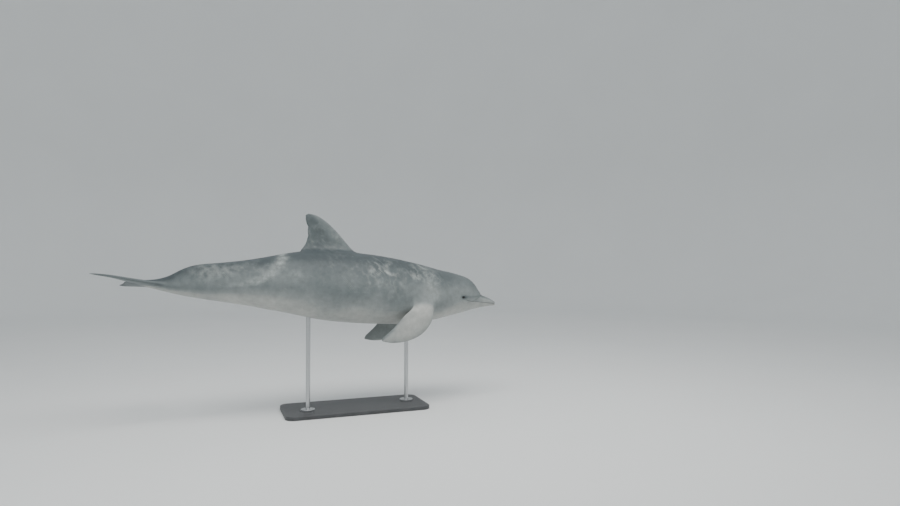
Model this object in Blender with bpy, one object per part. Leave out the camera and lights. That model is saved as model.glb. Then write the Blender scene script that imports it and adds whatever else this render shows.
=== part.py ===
"""Life-size display model of a bottlenose dolphin, held by a plain stand with two rods.

Frame: +X runs toward the beak, +Y to the animal's left, +Z up.  The origin is the middle of the
underside of the stand's base, so z = 0 is the floor.  Lengths are metres.

The animal is first described straight: a station runs from the beak tip (0) to the notch of the
flukes (1), and heights and widths are fractions of the body length.  One closed cage of rings, with
the fins grown out of it, is smoothed, bent along the spine and parted by thin walls.
"""

import math

import bmesh
import bpy
import numpy as np
from mathutils import Matrix, Vector

# ---------------------------------------------------------------- driving dimensions
BODY_LENGTH = 2.45
GAP = 0.0003
MERGE_DISTANCE = 0.00005

# Stance: heading and dive of the spine at five stations, and the roll that lifts the right side.
SPINE_STATIONS = (0.00, 0.25, 0.50, 0.75, 1.00)
SPINE_HEADING = (-4.5, 2.3, 7.6, -0.5, -9.0)
SPINE_PITCH = (-3.6, -6.3, -4.1, 0.1, -9.6)
SPINE_ROLL = (3.5, 3.5, 3.5, 4.8, 8.2)

# Reference point of the spine, above the stand.
ANCHOR_STATION = 0.44
ANCHOR = (-0.02, 0.0, 0.80)

# Station, back height, belly depth, half width, squareness of the section.
# Heights and widths are in hundredths of the body length.
PROFILE = (
    (0.000, 0.40, 0.60, 0.85, 2.2),
    (0.014, 0.90, 1.00, 1.20, 2.3),
    (0.030, 1.45, 1.40, 1.55, 2.3),
    (0.048, 1.60, 2.00, 2.00, 2.2),
    (0.057, 3.05, 2.30, 2.40, 2.1),
    (0.068, 4.70, 2.65, 3.05, 2.0),
    (0.082, 5.95, 3.10, 3.75, 2.0),
    (0.100, 6.75, 3.70, 4.45, 2.0),
    (0.140, 7.40, 5.00, 5.60, 2.0),
    (0.200, 8.25, 6.80, 6.95, 2.1),
    (0.300, 9.50, 8.60, 8.20, 2.1),
    (0.400, 10.10, 9.10, 8.50, 2.1),
    (0.500, 10.00, 8.80, 8.10, 2.1),
    (0.600, 9.20, 7.20, 6.90, 2.0),
    (0.700, 7.05, 5.20, 5.15, 1.9),
    (0.780, 6.10, 3.70, 3.65, 1.8),
    (0.840, 5.75, 2.75, 2.60, 1.8),
    (0.876, 4.45, 2.20, 2.05, 1.8),
    (0.903, 2.40, 1.70, 1.65, 1.9),
    (0.926, 1.40, 1.25, 1.45, 2.0),
    (0.955, 0.85, 0.85, 1.25, 2.0),
    (1.000, 0.26, 0.26, 0.90, 2.0),
)

# The beak points a little below the line of the body.
BEAK_DROOP = 0.0060
BEAK_ROOT_STATION = 0.075

# Cage: stations of the rings and angles of half a ring, from the back down to the belly.
HEAD_RINGS = (0.000, 0.010, 0.028, 0.045, 0.056, 0.068, 0.084, 0.104, 0.128, 0.156, 0.186)
FLIPPER_RINGS = (0.212, 0.236, 0.260, 0.284)
CHEST_RINGS = (0.322, 0.378)
DORSAL_RINGS = (0.434, 0.471, 0.509, 0.547, 0.583)
LOIN_RINGS = (0.622, 0.682, 0.745, 0.805, 0.850, 0.884)
FLUKE_RINGS = (0.906, 0.933, 0.961, 0.990)
HALF_ANGLES = (90.0, 70.0, 46.0, 22.0, 0.0, -22.0, -45.0, -68.0, -90.0)
SMOOTHING_LEVELS = 1

# The flank rows sink by this many degrees round the station where the flippers grow.
FLIPPER_DROOP = 9.0
FLIPPER_DROOP_STATION = 0.246
FLIPPER_DROOP_SPREAD = 0.07

# Section of a fin: fullness, taper to the rear and rear edge of its half thickness, and the first and
# last point on its side as shares of the half turn from the front edge to the rear edge.
FOIL_FULLNESS = 2.6
FOIL_TAPER = 0.85
FOIL_EDGE = 0.16
FIRST_SHARE = 0.14
LAST_SHARE = 0.90

# Dorsal fin: front station and height above the back, rear station and height, half thickness.
DORSAL_FIN = (
    (0.4400, 0.0040, 0.5900, 0.0040, 0.0165),
    (0.4570, 0.0190, 0.5755, 0.0170, 0.0105),
    (0.4785, 0.0420, 0.5700, 0.0400, 0.0082),
    (0.5040, 0.0665, 0.5710, 0.0640, 0.0060),
    (0.5270, 0.0850, 0.5765, 0.0830, 0.0042),
    (0.5455, 0.0960, 0.5785, 0.0960, 0.0028),
    (0.5610, 0.1015, 0.5750, 0.1030, 0.0016),
)

# Flipper: front edge station and height, rear edge station and height, distance from the midline,
# half thickness, and lean of the thickness from upright (0) to sideways (90).
FLIPPER = (
    (0.2235, -0.0400, 0.2880, -0.0440, 0.0835, 0.0135, 38.0),
    (0.2215, -0.0700, 0.3120, -0.0610, 0.0848, 0.0098, 76.0),
    (0.2440, -0.1060, 0.3270, -0.0825, 0.0815, 0.0074, 90.0),
    (0.2760, -0.1270, 0.3395, -0.1000, 0.0785, 0.0058, 92.0),
    (0.3220, -0.1395, 0.3570, -0.1165, 0.0750, 0.0040, 94.0),
    (0.3650, -0.1385, 0.3750, -0.1330, 0.0710, 0.0018, 96.0),
)

# Flukes: distance from the midline, height, front and rear station, half thickness.
FLUKE = (
    (0.020, 0.0000, 0.9140, 1.0050, 0.0068),
    (0.043, -0.0005, 0.9350, 1.0165, 0.0052),
    (0.074, -0.0010, 0.9680, 1.0250, 0.0040),
    (0.104, -0.0025, 1.0060, 1.0360, 0.0027),
    (0.125, -0.0060, 1.0400, 1.0510, 0.0014),
)

# Mouth line: station and height, from ahead of the beak tip to the corner below the eye.
MOUTH_LINE = ((-0.020, -0.0075), (0.000, -0.0072), (0.030, -0.0064), (0.060, -0.0056),
              (0.084, -0.0060), (0.099, -0.0054), (0.109, -0.0034))
JAW_CORNER = (0.116, -0.0140)
JAW_REAR = (0.122, -0.0800)
MOUTH_STEPS = 9
MOUTH_REACH = 0.08
CREASE_TOP = (0.046, 0.0600)
CREASE_FOOT_STATION = 0.0602

# Eyes.
EYE_STATION = 0.120
EYE_ANGLE = 3.0
EYE_RADIUS = 0.017
EYE_PROTRUSION = 0.0035
EYE_STATION_STEP = 0.004
EYE_ANGLE_STEP = 0.05

# Where the walls between the parts stand.
NECK_STATION = 0.178
WAIST_STATION = 0.424
VENT_STATION = 0.710
FLUKE_ROOT_STATION = 0.896
FIN_ROOT_HEIGHT = 0.008
FIN_WALL_START = 0.427
FIN_WALL_END = 0.612
FIN_WALL_REACH = 0.03
FIN_WALL_STEPS = 9
FLIPPER_ROOT_REACH = 0.024
FLIPPER_ROOT_MARGIN = 0.015
BODY_WALL_REACH = 0.14
TAIL_WALL_REACH = 0.08
FLUKE_WALL_END = 1.05
FLUKE_WALL_REACH = 0.06

# Stand.
BASE_LENGTH = 0.95
BASE_WIDTH = 0.42
BASE_THICKNESS = 0.024
BASE_CORNER = 0.060
BASE_CORNER_STEPS = 8
BASE_EDGE = 0.004
ROD_RADIUS = 0.014
ROD_SIDES = 14
ROD_FLANGE_RADIUS = 0.045
ROD_FLANGE_HEIGHT = 0.010
ROD_FLANGE_EDGE = 0.003
ROD_OVERREACH = 0.04
ROD_STATIONS = (0.272, 0.560)

# Colours and finish.
SKIN_TOP = (0.200, 0.235, 0.240)
SKIN_SIDE = (0.300, 0.345, 0.345)
SKIN_FIN = (0.235, 0.270, 0.275)
EYE_DARK = (0.030, 0.022, 0.018)
BASE_GREY = (0.060, 0.062, 0.065)
STEEL = (0.560, 0.570, 0.580)
SKIN_ROUGHNESS = 0.45
EYE_ROUGHNESS = 0.10
BASE_ROUGHNESS = 0.50
STEEL_ROUGHNESS = 0.30
SHARP_DEGREES = 40.0


# ---------------------------------------------------------------- curves
def smooth_curve(stations, values):
    """A curve through a few stations that does not overshoot them."""
    xs = np.asarray(stations, float)
    ys = np.asarray(values, float)
    steps = np.diff(xs)
    slopes = np.diff(ys) / steps
    tangents = np.zeros_like(ys)
    tangents[0] = slopes[0]
    tangents[-1] = slopes[-1]
    for i in range(1, len(xs) - 1):
        if slopes[i - 1] * slopes[i] > 0.0:
            before = 2.0 * steps[i] + steps[i - 1]
            after = steps[i] + 2.0 * steps[i - 1]
            tangents[i] = (before + after) / (before / slopes[i - 1] + after / slopes[i])

    def value(x):
        i = int(np.clip(np.searchsorted(xs, x, side="right") - 1, 0, len(xs) - 2))
        t = min(max((x - xs[i]) / steps[i], 0.0), 1.0)
        low = (1.0 + 2.0 * t) * (1.0 - t) ** 2 * ys[i] + t * (1.0 - t) ** 2 * steps[i] * tangents[i]
        high = t * t * (3.0 - 2.0 * t) * ys[i + 1] - t * t * (1.0 - t) * steps[i] * tangents[i + 1]
        return float(low + high)

    return value


def profile_curve(column):
    scale = 1.0 if column == 4 else 0.01
    return smooth_curve([row[0] for row in PROFILE], [row[column] * scale for row in PROFILE])


back_height = profile_curve(1)
belly_depth = profile_curve(2)
half_width = profile_curve(3)
squareness = profile_curve(4)
mouth_height = smooth_curve([p[0] for p in MOUTH_LINE], [p[1] for p in MOUTH_LINE])


def beak_droop(station):
    """How far the beak hangs below the line of the body."""
    return BEAK_DROOP * max(0.0, 1.0 - station / BEAK_ROOT_STATION) ** 2


def section_point(station, angle):
    """A point of the smooth body in the straight animal: station, left offset, height."""
    power = 2.0 / squareness(station)
    across = math.copysign(abs(math.cos(angle)) ** power, math.cos(angle))
    upward = abs(math.sin(angle)) ** power
    height = upward * back_height(station) if math.sin(angle) > 0.0 else -upward * belly_depth(station)
    return station, across * half_width(station), height - beak_droop(station)


# ---------------------------------------------------------------- spine
class Spine:
    """Carries points of the straight animal to the posed one."""

    SAMPLES = 201

    def __init__(self):
        heading = smooth_curve(SPINE_STATIONS, SPINE_HEADING)
        pitch = smooth_curve(SPINE_STATIONS, SPINE_PITCH)
        self.stations = np.linspace(0.0, 1.0, self.SAMPLES)
        forward = []
        for station in self.stations:
            yaw = math.radians(heading(station))
            dive = math.radians(pitch(station))
            forward.append((math.cos(dive) * math.cos(yaw), math.cos(dive) * math.sin(yaw), math.sin(dive)))
        self.forward = np.array(forward)
        steps = (self.forward[1:] + self.forward[:-1]) / 2.0 * BODY_LENGTH / (self.SAMPLES - 1)
        self.centre = np.vstack([np.zeros(3), -np.cumsum(steps, axis=0)])
        self.centre += np.array(ANCHOR) - self.sample(self.centre, ANCHOR_STATION)
        level_left = np.cross((0.0, 0.0, 1.0), self.forward)
        level_left /= np.linalg.norm(level_left, axis=1)[:, None]
        level_up = np.cross(self.forward, level_left)
        roll_curve = smooth_curve(SPINE_STATIONS, SPINE_ROLL)
        roll = np.radians([[roll_curve(station)] for station in self.stations])
        self.left = level_left * np.cos(roll) - level_up * np.sin(roll)
        self.up = level_up * np.cos(roll) + level_left * np.sin(roll)

    def sample(self, rows, station):
        return np.array([np.interp(station, self.stations, rows[:, axis]) for axis in range(3)])

    def place(self, point):
        """World position of a point given as station, left offset and height."""
        station, left, up = point
        inside = min(max(station, 0.0), 1.0)
        centre = self.sample(self.centre, inside) - self.sample(self.forward, inside) * (
            station - inside) * BODY_LENGTH
        offset = self.sample(self.left, inside) * left + self.sample(self.up, inside) * up
        return Vector(centre + offset * BODY_LENGTH)


SPINE = Spine()


# ---------------------------------------------------------------- objects and materials
def clear_scene():
    for item in list(bpy.data.objects):
        bpy.data.objects.remove(item, do_unlink=True)


def finish(name, colour, roughness, metallic=0.0):
    material = bpy.data.materials.new(name)
    material.use_nodes = True
    shader = material.node_tree.nodes["Principled BSDF"]
    shader.inputs["Base Color"].default_value = (*colour, 1.0)
    shader.inputs["Roughness"].default_value = roughness
    shader.inputs["Metallic"].default_value = metallic
    return material


def object_from_bmesh(name, shape, material=None):
    mesh = bpy.data.meshes.new(name)
    bmesh.ops.recalc_face_normals(shape, faces=shape.faces)
    shape.to_mesh(mesh)
    shape.free()
    item = bpy.data.objects.new(name, mesh)
    bpy.context.scene.collection.objects.link(item)
    if material is not None:
        mesh.materials.append(material)
    return item


def baked_mesh(item):
    """The mesh of an object with its modifiers applied."""
    bpy.context.view_layer.update()
    evaluated = item.evaluated_get(bpy.context.evaluated_depsgraph_get())
    return bpy.data.meshes.new_from_object(evaluated)


def apply_cut(item, cutter):
    """Takes the cutter's volume out of the object."""
    cut = item.modifiers.new("cut", "BOOLEAN")
    cut.operation = "DIFFERENCE"
    cut.solver = "EXACT"
    cut.object = cutter
    mesh = baked_mesh(item)
    item.modifiers.clear()
    item.data = mesh


def smooth_shading(item):
    item.data.shade_smooth()
    item.data.set_sharp_from_angle(angle=math.radians(SHARP_DEGREES))


# ---------------------------------------------------------------- cage of the straight animal
def ring_angles(station):
    """Angles of half a ring; the flank rows sink a little where the flippers grow."""
    sink = FLIPPER_DROOP * math.exp(-((station - FLIPPER_DROOP_STATION) / FLIPPER_DROOP_SPREAD) ** 2)
    return [math.radians(angle - sink * math.cos(math.radians(angle))) for angle in HALF_ANGLES]


def ring_points(station):
    """One closed ring: back, left flank, belly, right flank."""
    columns = 2 * (len(HALF_ANGLES) - 1)
    fullness = 1.0 / (2.0 / 3.0 + math.cos(2.0 * math.pi / columns) / 3.0)
    left = [section_point(station, angle) for angle in ring_angles(station)]
    right = [(point[0], -point[1], point[2]) for point in reversed(left[1:-1])]
    return [(point[0], point[1] * fullness, point[2] * fullness) for point in left + right]


def foil(share):
    """Half thickness of a fin across its chord, 1 at the thickest."""
    return FOIL_FULLNESS * math.sqrt(share) * (1.0 - share) ** FOIL_TAPER + FOIL_EDGE * share


def section_loop(front, rear, thickness, count):
    """Loop round a fin section: front edge, one side, rear edge, other side."""
    front = Vector(front)
    rear = Vector(rear)
    thickness = Vector(thickness)
    shares = [FIRST_SHARE + (LAST_SHARE - FIRST_SHARE) * i / (count - 1) for i in range(count)]
    shares = [0.5 - 0.5 * math.cos(math.pi * share) for share in shares]
    side = [front.lerp(rear, share) + thickness * foil(share) for share in shares]
    other = [front.lerp(rear, share) - thickness * foil(share) for share in reversed(shares)]
    return [front] + side + [rear] + other


def grow_fin(shape, root, sections):
    """Grows a fin from a hole in the body; root and sections are loops of equal length."""
    loop = root
    size = len(root)
    for points in sections:
        ring = [shape.verts.new(point) for point in points]
        for i in range(size):
            j = (i + 1) % size
            shape.faces.new((loop[i], loop[j], ring[j], ring[i]))
        loop = ring
    count = size // 2 - 1
    side = loop[1:count + 1]
    other = list(reversed(loop[count + 2:]))
    shape.faces.new((loop[0], side[0], other[0]))
    for i in range(count - 1):
        shape.faces.new((side[i], side[i + 1], other[i + 1], other[i]))
    shape.faces.new((side[-1], loop[count + 1], other[-1]))


def patch_loop(rings, first, last, side, middle, other):
    """Border of a two-column patch of the body, in the order of section_loop."""
    spans = range(first, last + 1)
    return ([rings[first][middle]] + [rings[k][side] for k in spans] + [rings[last][middle]]
            + [rings[k][other] for k in reversed(spans)])


def dorsal_sections(count):
    loops = []
    for front, front_height, rear, rear_height, thickness in DORSAL_FIN:
        loops.append(section_loop((front, 0.0, back_height(front) + front_height),
                                  (rear, 0.0, back_height(rear) + rear_height),
                                  (0.0, thickness, 0.0), count))
    return loops


def flipper_sections(count, side):
    loops = []
    for front, front_height, rear, rear_height, offset, thickness, lean in FLIPPER:
        across = math.sin(math.radians(lean))
        upward = math.cos(math.radians(lean))
        loops.append(section_loop((front, side * offset, front_height), (rear, side * offset, rear_height),
                                  (0.0, side * thickness * across, thickness * upward), count))
    return loops


def fluke_sections(count, side):
    loops = []
    for offset, height, front, rear, thickness in FLUKE:
        loops.append(section_loop((front, side * offset, height), (rear, side * offset, height),
                                  (0.0, 0.0, thickness), count))
    return loops


def close_end(shape, ring):
    """Closes the end of the body with faces between its left and right halves."""
    half = len(ring) // 2
    left = ring[:half + 1]
    right = [ring[0]] + list(reversed(ring[half:]))
    shape.faces.new((left[0], left[1], right[1]))
    for i in range(1, half - 1):
        shape.faces.new((left[i], left[i + 1], right[i + 1], right[i]))
    shape.faces.new((left[half - 1], left[half], right[half - 1]))


def straight_cage():
    """Closed cage of the straight animal: body rings and five fins."""
    stations = HEAD_RINGS + FLIPPER_RINGS + CHEST_RINGS + DORSAL_RINGS + LOIN_RINGS + FLUKE_RINGS
    shape = bmesh.new()
    rings = [[shape.verts.new(point) for point in ring_points(station)] for station in stations]
    columns = len(rings[0])
    flipper_start = len(HEAD_RINGS)
    flipper_end = flipper_start + len(FLIPPER_RINGS) - 1
    dorsal_start = flipper_end + 1 + len(CHEST_RINGS)
    dorsal_end = dorsal_start + len(DORSAL_RINGS) - 1
    fluke_start = dorsal_end + 1 + len(LOIN_RINGS)
    fluke_end = fluke_start + len(FLUKE_RINGS) - 1
    middle = columns // 4
    patches = (
        (dorsal_start, dorsal_end, 1, 0, columns - 1, dorsal_sections(len(DORSAL_RINGS))),
        (flipper_start, flipper_end, middle, middle + 1, middle + 2,
         flipper_sections(len(FLIPPER_RINGS), 1.0)),
        (flipper_start, flipper_end, columns - middle, columns - middle - 1, columns - middle - 2,
         flipper_sections(len(FLIPPER_RINGS), -1.0)),
        (fluke_start, fluke_end, middle - 1, middle, middle + 1, fluke_sections(len(FLUKE_RINGS), 1.0)),
        (fluke_start, fluke_end, columns - middle + 1, columns - middle, columns - middle - 1,
         fluke_sections(len(FLUKE_RINGS), -1.0)),
    )
    openings = set()
    for first, last, side, centre, other, _ in patches:
        for k in range(first, last):
            for pair in ((side, centre), (centre, other)):
                low, high = sorted(pair)
                openings.add((k, high if high - low > 1 else low))
    for k in range(len(rings) - 1):
        for j in range(columns):
            if (k, j) not in openings:
                following = (j + 1) % columns
                shape.faces.new((rings[k][j], rings[k][following], rings[k + 1][following], rings[k + 1][j]))
    for first, last, side, centre, other, sections in patches:
        grow_fin(shape, patch_loop(rings, first, last, side, centre, other), sections)
    close_end(shape, rings[0])
    close_end(shape, rings[-1])
    loose = [vertex for vertex in shape.verts if not vertex.link_faces]
    bmesh.ops.delete(shape, geom=loose, context="VERTS")
    return shape


def whole_animal():
    """The smoothed cage, bent along the spine, as one closed body."""
    item = object_from_bmesh("animal", straight_cage())
    smoothing = item.modifiers.new("smoothing", "SUBSURF")
    smoothing.levels = SMOOTHING_LEVELS
    smoothing.render_levels = SMOOTHING_LEVELS
    mesh = baked_mesh(item)
    item.modifiers.clear()
    item.data = mesh
    for vertex in mesh.vertices:
        vertex.co = SPINE.place(vertex.co)
    shape = bmesh.new()
    shape.from_mesh(mesh)
    bmesh.ops.triangulate(shape, faces=shape.faces)
    bmesh.ops.recalc_face_normals(shape, faces=shape.faces)
    shape.to_mesh(mesh)
    shape.free()
    return item


# ---------------------------------------------------------------- walls between the parts
def offset_line(points, distance):
    """The outline (station, height) moved sideways by a distance."""
    moved = []
    for i, point in enumerate(points):
        ahead = points[min(i + 1, len(points) - 1)] - points[max(i - 1, 0)]
        moved.append(point + Vector((-ahead.y, ahead.x)).normalized() * distance)
    return moved


def thin_wall(name, outline, half_span, branch=None):
    """A wall one gap thick that follows an outline of (station, height) and runs across the body.

    A branch is the top of a second wall that rises from the outline: its place in the outline's
    list, and its far end.
    """
    half_gap = GAP / 2.0 / BODY_LENGTH
    points = [Vector(point) for point in outline]
    upper = offset_line(points, half_gap)
    lower = offset_line(points, -half_gap)
    if branch is not None:
        place, end = branch
        foot = upper[place]
        sideways = Vector((foot.y - end[1], end[0] - foot.x)).normalized() * half_gap
        upper[place:place + 1] = [foot + sideways, Vector(end) + sideways,
                                  Vector(end) - sideways, foot - sideways]
    loop = upper + lower[::-1]
    shape = bmesh.new()
    ends = [[shape.verts.new(SPINE.place((point.x, left, point.y))) for point in loop]
            for left in (-half_span, half_span)]
    for i in range(len(loop)):
        j = (i + 1) % len(loop)
        front, rear = (i, j) if loop[i].x < loop[j].x else (j, i)
        shape.faces.new((ends[0][front], ends[0][rear], ends[1][rear]))
        shape.faces.new((ends[0][front], ends[1][rear], ends[1][front]))
    for end in ends:
        shape.faces.new(end)
    return object_from_bmesh(name, shape)


def thin_plate(name, corners):
    """A flat plate one gap thick on a parallelogram: a posed corner and its two neighbours."""
    shape = bmesh.new()
    corner, along, across = corners
    outline = [corner, along, along + across - corner, across]
    normal = (along - corner).cross(across - corner).normalized() * GAP / 2.0
    low = [shape.verts.new(point - normal) for point in outline]
    high = [shape.verts.new(point + normal) for point in outline]
    shape.faces.new(low)
    shape.faces.new(high)
    for i in range(4):
        j = (i + 1) % 4
        shape.faces.new((low[i], low[j], high[j], high[i]))
    return object_from_bmesh(name, shape)


def cross_wall(name, station, reach):
    return thin_wall(name, ((station, -reach), (station, 0.0), (station, reach)), reach)


def mouth_wall():
    """Follows the closed mouth to its corner and drops through the throat; a branch parts beak and melon."""
    start = MOUTH_LINE[0][0]
    corner = MOUTH_LINE[-1][0]
    stations = sorted([start + (corner - start) * i / MOUTH_STEPS for i in range(MOUTH_STEPS + 1)]
                      + [CREASE_FOOT_STATION])
    outline = [(station, mouth_height(station)) for station in stations]
    branch = (stations.index(CREASE_FOOT_STATION), CREASE_TOP)
    return thin_wall("mouth wall", outline + [JAW_CORNER, JAW_REAR], MOUTH_REACH, branch)


def dorsal_wall():
    stations = np.linspace(FIN_WALL_START, FIN_WALL_END, FIN_WALL_STEPS)
    outline = [(station, back_height(station) + FIN_ROOT_HEIGHT) for station in stations]
    return thin_wall("dorsal wall", outline, FIN_WALL_REACH)


def fluke_middle_wall():
    corners = [SPINE.place(point) for point in (
        (FLUKE_ROOT_STATION, 0.0, -FLUKE_WALL_REACH), (FLUKE_WALL_END, 0.0, -FLUKE_WALL_REACH),
        (FLUKE_ROOT_STATION, 0.0, FLUKE_WALL_REACH))]
    return thin_plate("fluke middle wall", corners)


def flipper_wall(side):
    """A plate through the flipper's root, square to the way the flipper leaves the body."""
    front, front_height, rear, rear_height, offset, _, lean = FLIPPER[0]
    across = side * math.sin(math.radians(lean)) * FLIPPER_ROOT_REACH
    upward = math.cos(math.radians(lean)) * FLIPPER_ROOT_REACH
    corners = [SPINE.place(point) for point in (
        (front - FLIPPER_ROOT_MARGIN, side * offset + across, front_height + upward),
        (rear + FLIPPER_ROOT_MARGIN, side * offset + across, rear_height + upward),
        (front - FLIPPER_ROOT_MARGIN, side * offset - across, front_height - upward))]
    return thin_plate("flipper wall", corners)


def part_walls():
    return (
        flipper_wall(1.0),
        flipper_wall(-1.0),
        dorsal_wall(),
        mouth_wall(),
        cross_wall("neck wall", NECK_STATION, BODY_WALL_REACH),
        cross_wall("waist wall", WAIST_STATION, BODY_WALL_REACH),
        cross_wall("vent wall", VENT_STATION, BODY_WALL_REACH),
        cross_wall("fluke wall", FLUKE_ROOT_STATION, TAIL_WALL_REACH),
        fluke_middle_wall(),
    )


# ---------------------------------------------------------------- eyes
def eye_centre(side):
    """Centre of the eyeball, set into the head so that little of it stands out."""
    angle = math.radians(EYE_ANGLE)

    def skin(station, turn):
        station, left, up = section_point(station, turn)
        return SPINE.place((station, side * left, up))

    along = skin(EYE_STATION + EYE_STATION_STEP, angle) - skin(EYE_STATION - EYE_STATION_STEP, angle)
    around = skin(EYE_STATION, angle + EYE_ANGLE_STEP) - skin(EYE_STATION, angle - EYE_ANGLE_STEP)
    outward = along.cross(around).normalized()
    if outward.y * side < 0.0:
        outward.negate()
    return skin(EYE_STATION, angle) - outward * (EYE_RADIUS - EYE_PROTRUSION)


def ball(name, centre, radius, material=None):
    shape = bmesh.new()
    bmesh.ops.create_icosphere(shape, subdivisions=2, radius=radius, matrix=Matrix.Translation(centre))
    return object_from_bmesh(name, shape, material)


# ---------------------------------------------------------------- stand
def stand_base(material):
    shape = bmesh.new()
    size = Matrix.Diagonal((BASE_LENGTH, BASE_WIDTH, BASE_THICKNESS, 1.0))
    bmesh.ops.create_cube(shape, size=1.0, matrix=Matrix.Translation((0.0, 0.0, BASE_THICKNESS / 2.0)) @ size)
    half = BASE_THICKNESS / 2.0
    upright = [edge for edge in shape.edges if abs(edge.verts[0].co.z - edge.verts[1].co.z) > half]
    bmesh.ops.bevel(shape, geom=upright, offset=BASE_CORNER, segments=BASE_CORNER_STEPS, affect="EDGES",
                    profile=0.5)
    rim = [edge for edge in shape.edges if min(vertex.co.z for vertex in edge.verts) > half]
    bmesh.ops.bevel(shape, geom=rim, offset=BASE_EDGE, segments=1, affect="EDGES", profile=0.5)
    return object_from_bmesh("stand_base", shape, material)


def stand_rod(name, station, animal, material):
    """A turned rod with a flange foot, cut off where it meets the belly."""
    foot = BASE_THICKNESS + GAP
    flange = foot + ROD_FLANGE_HEIGHT
    belly = SPINE.place((station, 0.0, -belly_depth(station)))
    top = belly.z + ROD_OVERREACH
    outline = ((0.0, foot), (ROD_FLANGE_RADIUS, foot), (ROD_FLANGE_RADIUS, flange - ROD_FLANGE_EDGE),
               (ROD_FLANGE_RADIUS - ROD_FLANGE_EDGE, flange), (ROD_RADIUS, flange), (ROD_RADIUS, top),
               (0.0, top))
    shape = bmesh.new()
    line = [shape.verts.new((radius, 0.0, height)) for radius, height in outline]
    edges = [shape.edges.new(pair) for pair in zip(line, line[1:])]
    bmesh.ops.spin(shape, geom=line + edges, cent=(0.0, 0.0, 0.0), axis=(0.0, 0.0, 1.0), dvec=(0.0, 0.0, 0.0),
                   angle=2.0 * math.pi, steps=ROD_SIDES, use_merge=True)
    bmesh.ops.remove_doubles(shape, verts=shape.verts, dist=MERGE_DISTANCE)
    bmesh.ops.translate(shape, verts=shape.verts, vec=(belly.x, belly.y, 0.0))
    rod = object_from_bmesh(name, shape, material)
    animal.location.z = -GAP
    bpy.context.view_layer.update()
    apply_cut(rod, animal)
    animal.location.z = 0.0
    smooth_shading(rod)
    return rod


# ---------------------------------------------------------------- parting and naming
def loose_pieces(mesh):
    """Vertex positions and faces of each connected piece of a mesh."""
    shape = bmesh.new()
    shape.from_mesh(mesh)
    shape.verts.ensure_lookup_table()
    seen = set()
    pieces = []
    for start in shape.verts:
        if start.index in seen:
            continue
        front = [start]
        seen.add(start.index)
        members = []
        while front:
            vertex = front.pop()
            members.append(vertex)
            for edge in vertex.link_edges:
                neighbour = edge.other_vert(vertex)
                if neighbour.index not in seen:
                    seen.add(neighbour.index)
                    front.append(neighbour)
        order = {vertex.index: i for i, vertex in enumerate(members)}
        faces = {face.index: [order[vertex.index] for vertex in face.verts]
                 for vertex in members for face in vertex.link_faces}
        pieces.append(([vertex.co.copy() for vertex in members], list(faces.values())))
    shape.free()
    return pieces


def named_parts(animal):
    """One object for each piece, named after the landmark that lies on it."""
    landmarks = {
        "upper_beak": ((0.025, 0.0, back_height(0.025)), SKIN_TOP),
        "lower_jaw": ((0.070, 0.0, -belly_depth(0.070)), SKIN_SIDE),
        "head": ((0.110, 0.0, back_height(0.110)), SKIN_TOP),
        "chest": ((0.330, 0.0, back_height(0.330)), SKIN_SIDE),
        "loin": ((0.600, 0.0, -belly_depth(0.600)), SKIN_SIDE),
        "tail_stock": ((0.800, 0.0, back_height(0.800)), SKIN_TOP),
        "dorsal_fin": ((0.570, 0.0, back_height(0.570) + 0.095), SKIN_FIN),
        "flipper_left": ((0.360, 0.071, -0.130), SKIN_FIN),
        "flipper_right": ((0.360, -0.071, -0.130), SKIN_FIN),
        "fluke_left": ((1.030, 0.115, 0.005), SKIN_FIN),
        "fluke_right": ((1.030, -0.115, 0.005), SKIN_FIN),
    }
    pieces = loose_pieces(animal.data)
    parts = {}
    for name, (landmark, colour) in landmarks.items():
        target = SPINE.place(landmark)
        points, faces = min(pieces, key=lambda piece: min((point - target).length for point in piece[0]))
        shape = bmesh.new()
        corners = [shape.verts.new(point) for point in points]
        for face in faces:
            shape.faces.new([corners[i] for i in face])
        parts[name] = object_from_bmesh(name, shape, finish(name + " skin", colour, SKIN_ROUGHNESS))
        smooth_shading(parts[name])
    return parts


def main():
    clear_scene()
    animal = whole_animal()
    rod_steel = finish("rod steel", STEEL, STEEL_ROUGHNESS, 1.0)
    stand_base(finish("base paint", BASE_GREY, BASE_ROUGHNESS))
    for name, station in zip(("stand_rod_front", "stand_rod_rear"), ROD_STATIONS):
        stand_rod(name, station, animal, rod_steel)
    for wall in part_walls():
        apply_cut(animal, wall)
        bpy.data.objects.remove(wall, do_unlink=True)
    parts = named_parts(animal)
    bpy.data.objects.remove(animal, do_unlink=True)
    for name, side in (("eye_left", 1.0), ("eye_right", -1.0)):
        centre = eye_centre(side)
        socket = ball("socket", centre, EYE_RADIUS + GAP)
        apply_cut(parts["head"], socket)
        bpy.data.objects.remove(socket, do_unlink=True)
        eye = ball(name, centre, EYE_RADIUS, finish(name + " surface", EYE_DARK, EYE_ROUGHNESS))
        smooth_shading(eye)
    smooth_shading(parts["head"])


main()
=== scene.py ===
"""Looks of the life-size bottlenose dolphin display model.

One skin replaces all the flesh nodes.  It is grown from the same cage as the solids: first described
straight, with a station from the beak tip (0) to the notch of the flukes (1) and heights and widths
in body lengths, then smoothed, given its folds and lids, and bent along the spine.
"""

import math

import bmesh
import bpy
import numpy as np
from mathutils import Matrix, Vector, noise


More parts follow.
